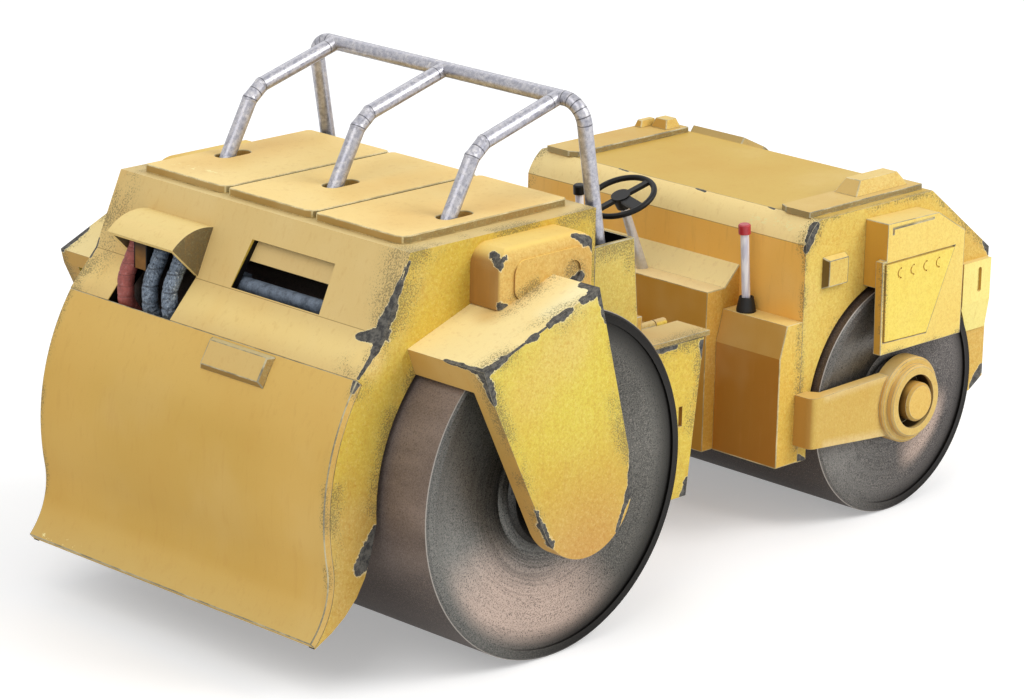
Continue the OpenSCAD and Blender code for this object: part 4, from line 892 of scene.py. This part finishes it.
def cushion(name, centre, half, up, along, material):
    """A crowned seat pad with a flat back, rounded edges and two sewn channels.

    half is its half length along the machine's width, its half height along `along`, and its thickness.
    """
    side = Vector((0, 1, 0))
    steps = 56
    rows = steps + 1
    vertices = []
    for level in (1, 0):
        for i in range(rows):
            for j in range(rows):
                u = math.sin(math.pi * (i / steps - 0.5))
                v = math.sin(math.pi * (j / steps - 0.5))
                pull_u = 1 - 0.035 * (1 - v ** 2)
                pull_v = 1 - 0.05 * (1 - u ** 2)
                corner = 1 - 0.06 * (u * v) ** 6
                crown = (1 - abs(u) ** 5) ** 0.5 * (1 - abs(v) ** 5) ** 0.5
                seam = 1 - sum(SEAM_DEPTH * math.exp(-((u - c) / SEAM_WIDTH) ** 2) for c in SEAMS)
                rumple = 0.03 * noise.noise(Vector((u * 5, v * 5, 3.7)))
                height = half[2] * ((0.30 + 0.70 * crown * seam + rumple * crown) if level else 0.0)
                rim = 0.97 if level == 0 else 1.0
                point = (centre + side * (half[0] * u * pull_u * corner * rim)
                         + along * (half[1] * v * pull_v * corner * rim) + up * height)
                vertices.append(point * MM)
    faces = []
    for level in (0, 1):
        start = level * rows * rows
        for i in range(steps):
            for j in range(steps):
                a = start + i * rows + j
                quad = (a, a + rows, a + rows + 1, a + 1)
                faces.append(quad if level == 0 else tuple(reversed(quad)))
    ring = ([i * rows for i in range(rows)] + [steps * rows + j for j in range(1, rows)]
            + [i * rows + steps for i in range(steps - 1, -1, -1)] + [j for j in range(steps - 1, 0, -1)])
    below = rows * rows
    for a, b in zip(ring, ring[1:] + ring[:1]):
        faces.append((a, b, b + below, a + below))
    piece = mesh_object(name, vertices, faces, material)
    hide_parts("seat_cushions")
    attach(piece, "rear_unit")


def seat_vinyl(name):
    """Black vinyl with a fine leather grain and a dusty bloom."""
    s = Surface(name, roughness=0.46)
    grain = s.put("TexVoronoi", {"Vector": s.point, "Scale": 1.6}, feature="DISTANCE_TO_EDGE")
    bloom = s.noise(0.12, 3, 0.6)
    base = s.mix(s.step(bloom, 0.4, 0.7, 0, 0.5), "1b1a1a", "35322e")
    creases = s.step(grain.outputs["Distance"], 0.0, 0.22)
    return s.finish(base, [(creases, 0.35, 0.15), (s.noise(0.5, 2), 0.1, 0.4)])


def manifold(name):
    """Housing painted black as the shade under the hood, with a brown-yellow spacer between the first two
    hoses that darkens towards the hood as painted shade.
    """
    s = Surface(name, roughness=0.6, specular=0.15)
    from_gap = s.math("ABSOLUTE", s.minus(s.y, (HOSE_ROWS[0] + HOSE_ROWS[1]) / 2))
    spacer = s.times(s.step(from_gap, 2.2, 2.3, 1, 0), s.step(s.z, 97.5, 97.6))
    # painted shade: the spacer fades to black towards the hood
    spacer = s.times(spacer, s.step(s.z, 101.0, 107.5, 1, 0))
    # painted shade: the housing's black stands for the dark under the hood
    black = s.mix(s.noise(0.8, 3), "060606", "101011")
    brown = s.mix(s.noise(0.5, 3), "8e6430", "6b4a26")
    return s.finish(s.mix(spacer, black, brown), [(s.noise(1.0, 3), 0.1, 0.2)])


def other_looks():
    """Materials of the nodes that aren't painted yellow, each with its nodes."""
    rear_steel = drum_steel("rear_drum_steel", REAR_AXLE, REAR_R, (-107, 0.5, 0.96),
                            ("73736f", "5e5d58"), "8f7f76", "6c5e56")
    front_steel = drum_steel("front_drum_steel", FRONT_AXLE, FRONT_R, (-42, 0.76, 0.78),
                             ("75736f", "5d5957"), "64554b", "42372f")
    strut_zinc = galvanised("zinc_strut", seams=strut_seams())
    axle_steel = plain("axle_steel", "8b8884", 0.35, 0.9)
    return {
        galvanised("zinc_hoop", bends=bend_rings): ["roll_hoop"],
        strut_zinc: ["cage_strut_left", "cage_strut_middle", "cage_strut_right"],
        rear_steel: ["rear_drum_ends", "rear_drum_shell"],
        front_steel: ["front_drum_ends", "front_drum_shell"],
        axle_steel: ["rear_axle", "front_axle", "hitch_pin", "lid_hinge_pins"],
        plain("bronze", "a98350", 0.4, 0.9): ["rear_drum_bushes"],
        plain("bright_steel", "cbc9c8", 0.38, 0.3): ["steering_column"],
        plain("black_gloss", "070606", 0.45, specular=0.25): ["steering_wheel", "lever_cap_black"],
        plain("black_matt", "0c0c0d", 0.6): ["lever_boots", "seat_base"],
        plain("red_gloss", "b5323a", 0.3): ["lever_cap_red"],
        white_gloss("white_gloss"): ["lever_left", "lever_right"],
        manifold("hose_housing"): ["hose_manifold"],
        hose_rubber("grey_tube", "74808f", "46505d", 0): ["vent_tube"]}


# ---------- the whole scene ----------

add_world()
add_camera()
add_lamp("key", 32, 36, 1.6, 0.9, KEY, (1.0, 0.99, 0.97))
add_lamp("fill", -75, 48, 1.8, 1.2, FILL, (1.0, 0.98, 0.95))
add_lamp("back", 150, 45, 1.8, 1.2, BACK)
add_floor()

PALE_EDGED = {"hatch_left", "hatch_middle", "hatch_right", "centre_console", "side_console_left",
              "side_console_right", "access_panels", "strip_blocks", "vent_flap"}
edge = edge_paint("paint_edge")
pale_edge = edge_paint("paint_edge_pale", "e6d29a", "b5a06a")
for paints in (rear_paints(), front_paints()):
    for paint, nodes in paints.items():
        for node in nodes:
            dress(node, paint, pale_edge if node in PALE_EDGED else edge)
            soften(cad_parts[node])
for material, nodes in other_looks().items():
    for node in nodes:
        dress(node, material)

red = hose_rubber("red_rubber", "a8584f", "87463f", 0, RED_PITCH)
grey = hose_rubber("grey_rubber", "7d8b9c", "55616f", 1, GREY_PITCH)
hose("red_hose", HOSE_ROWS[0], red, "hose_red", RED_PITCH, 0.14, 0.04, 1.0)
hose("grey_hose_1", HOSE_ROWS[1], grey, "hoses_grey", GREY_PITCH, 0.24, 0.24, 5.0)
hose("grey_hose_2", HOSE_ROWS[2], grey, "hoses_grey", GREY_PITCH, 0.24, 0.24, 9.0)

vinyl = seat_vinyl("seat_vinyl")
cushion("seat_pad", rear(67.5, 0, 67.62), (16.8, 7.6, 4.3), UP, Vector((1, 0, 0)), vinyl)
cushion("back_pad", rear(55.52, 0, 81), (16.8, 11.3, 3.9), Vector((1, 0, 0)), Vector((0, 0, -1)), vinyl)

bpy.context.scene.view_settings.view_transform = "Standard"
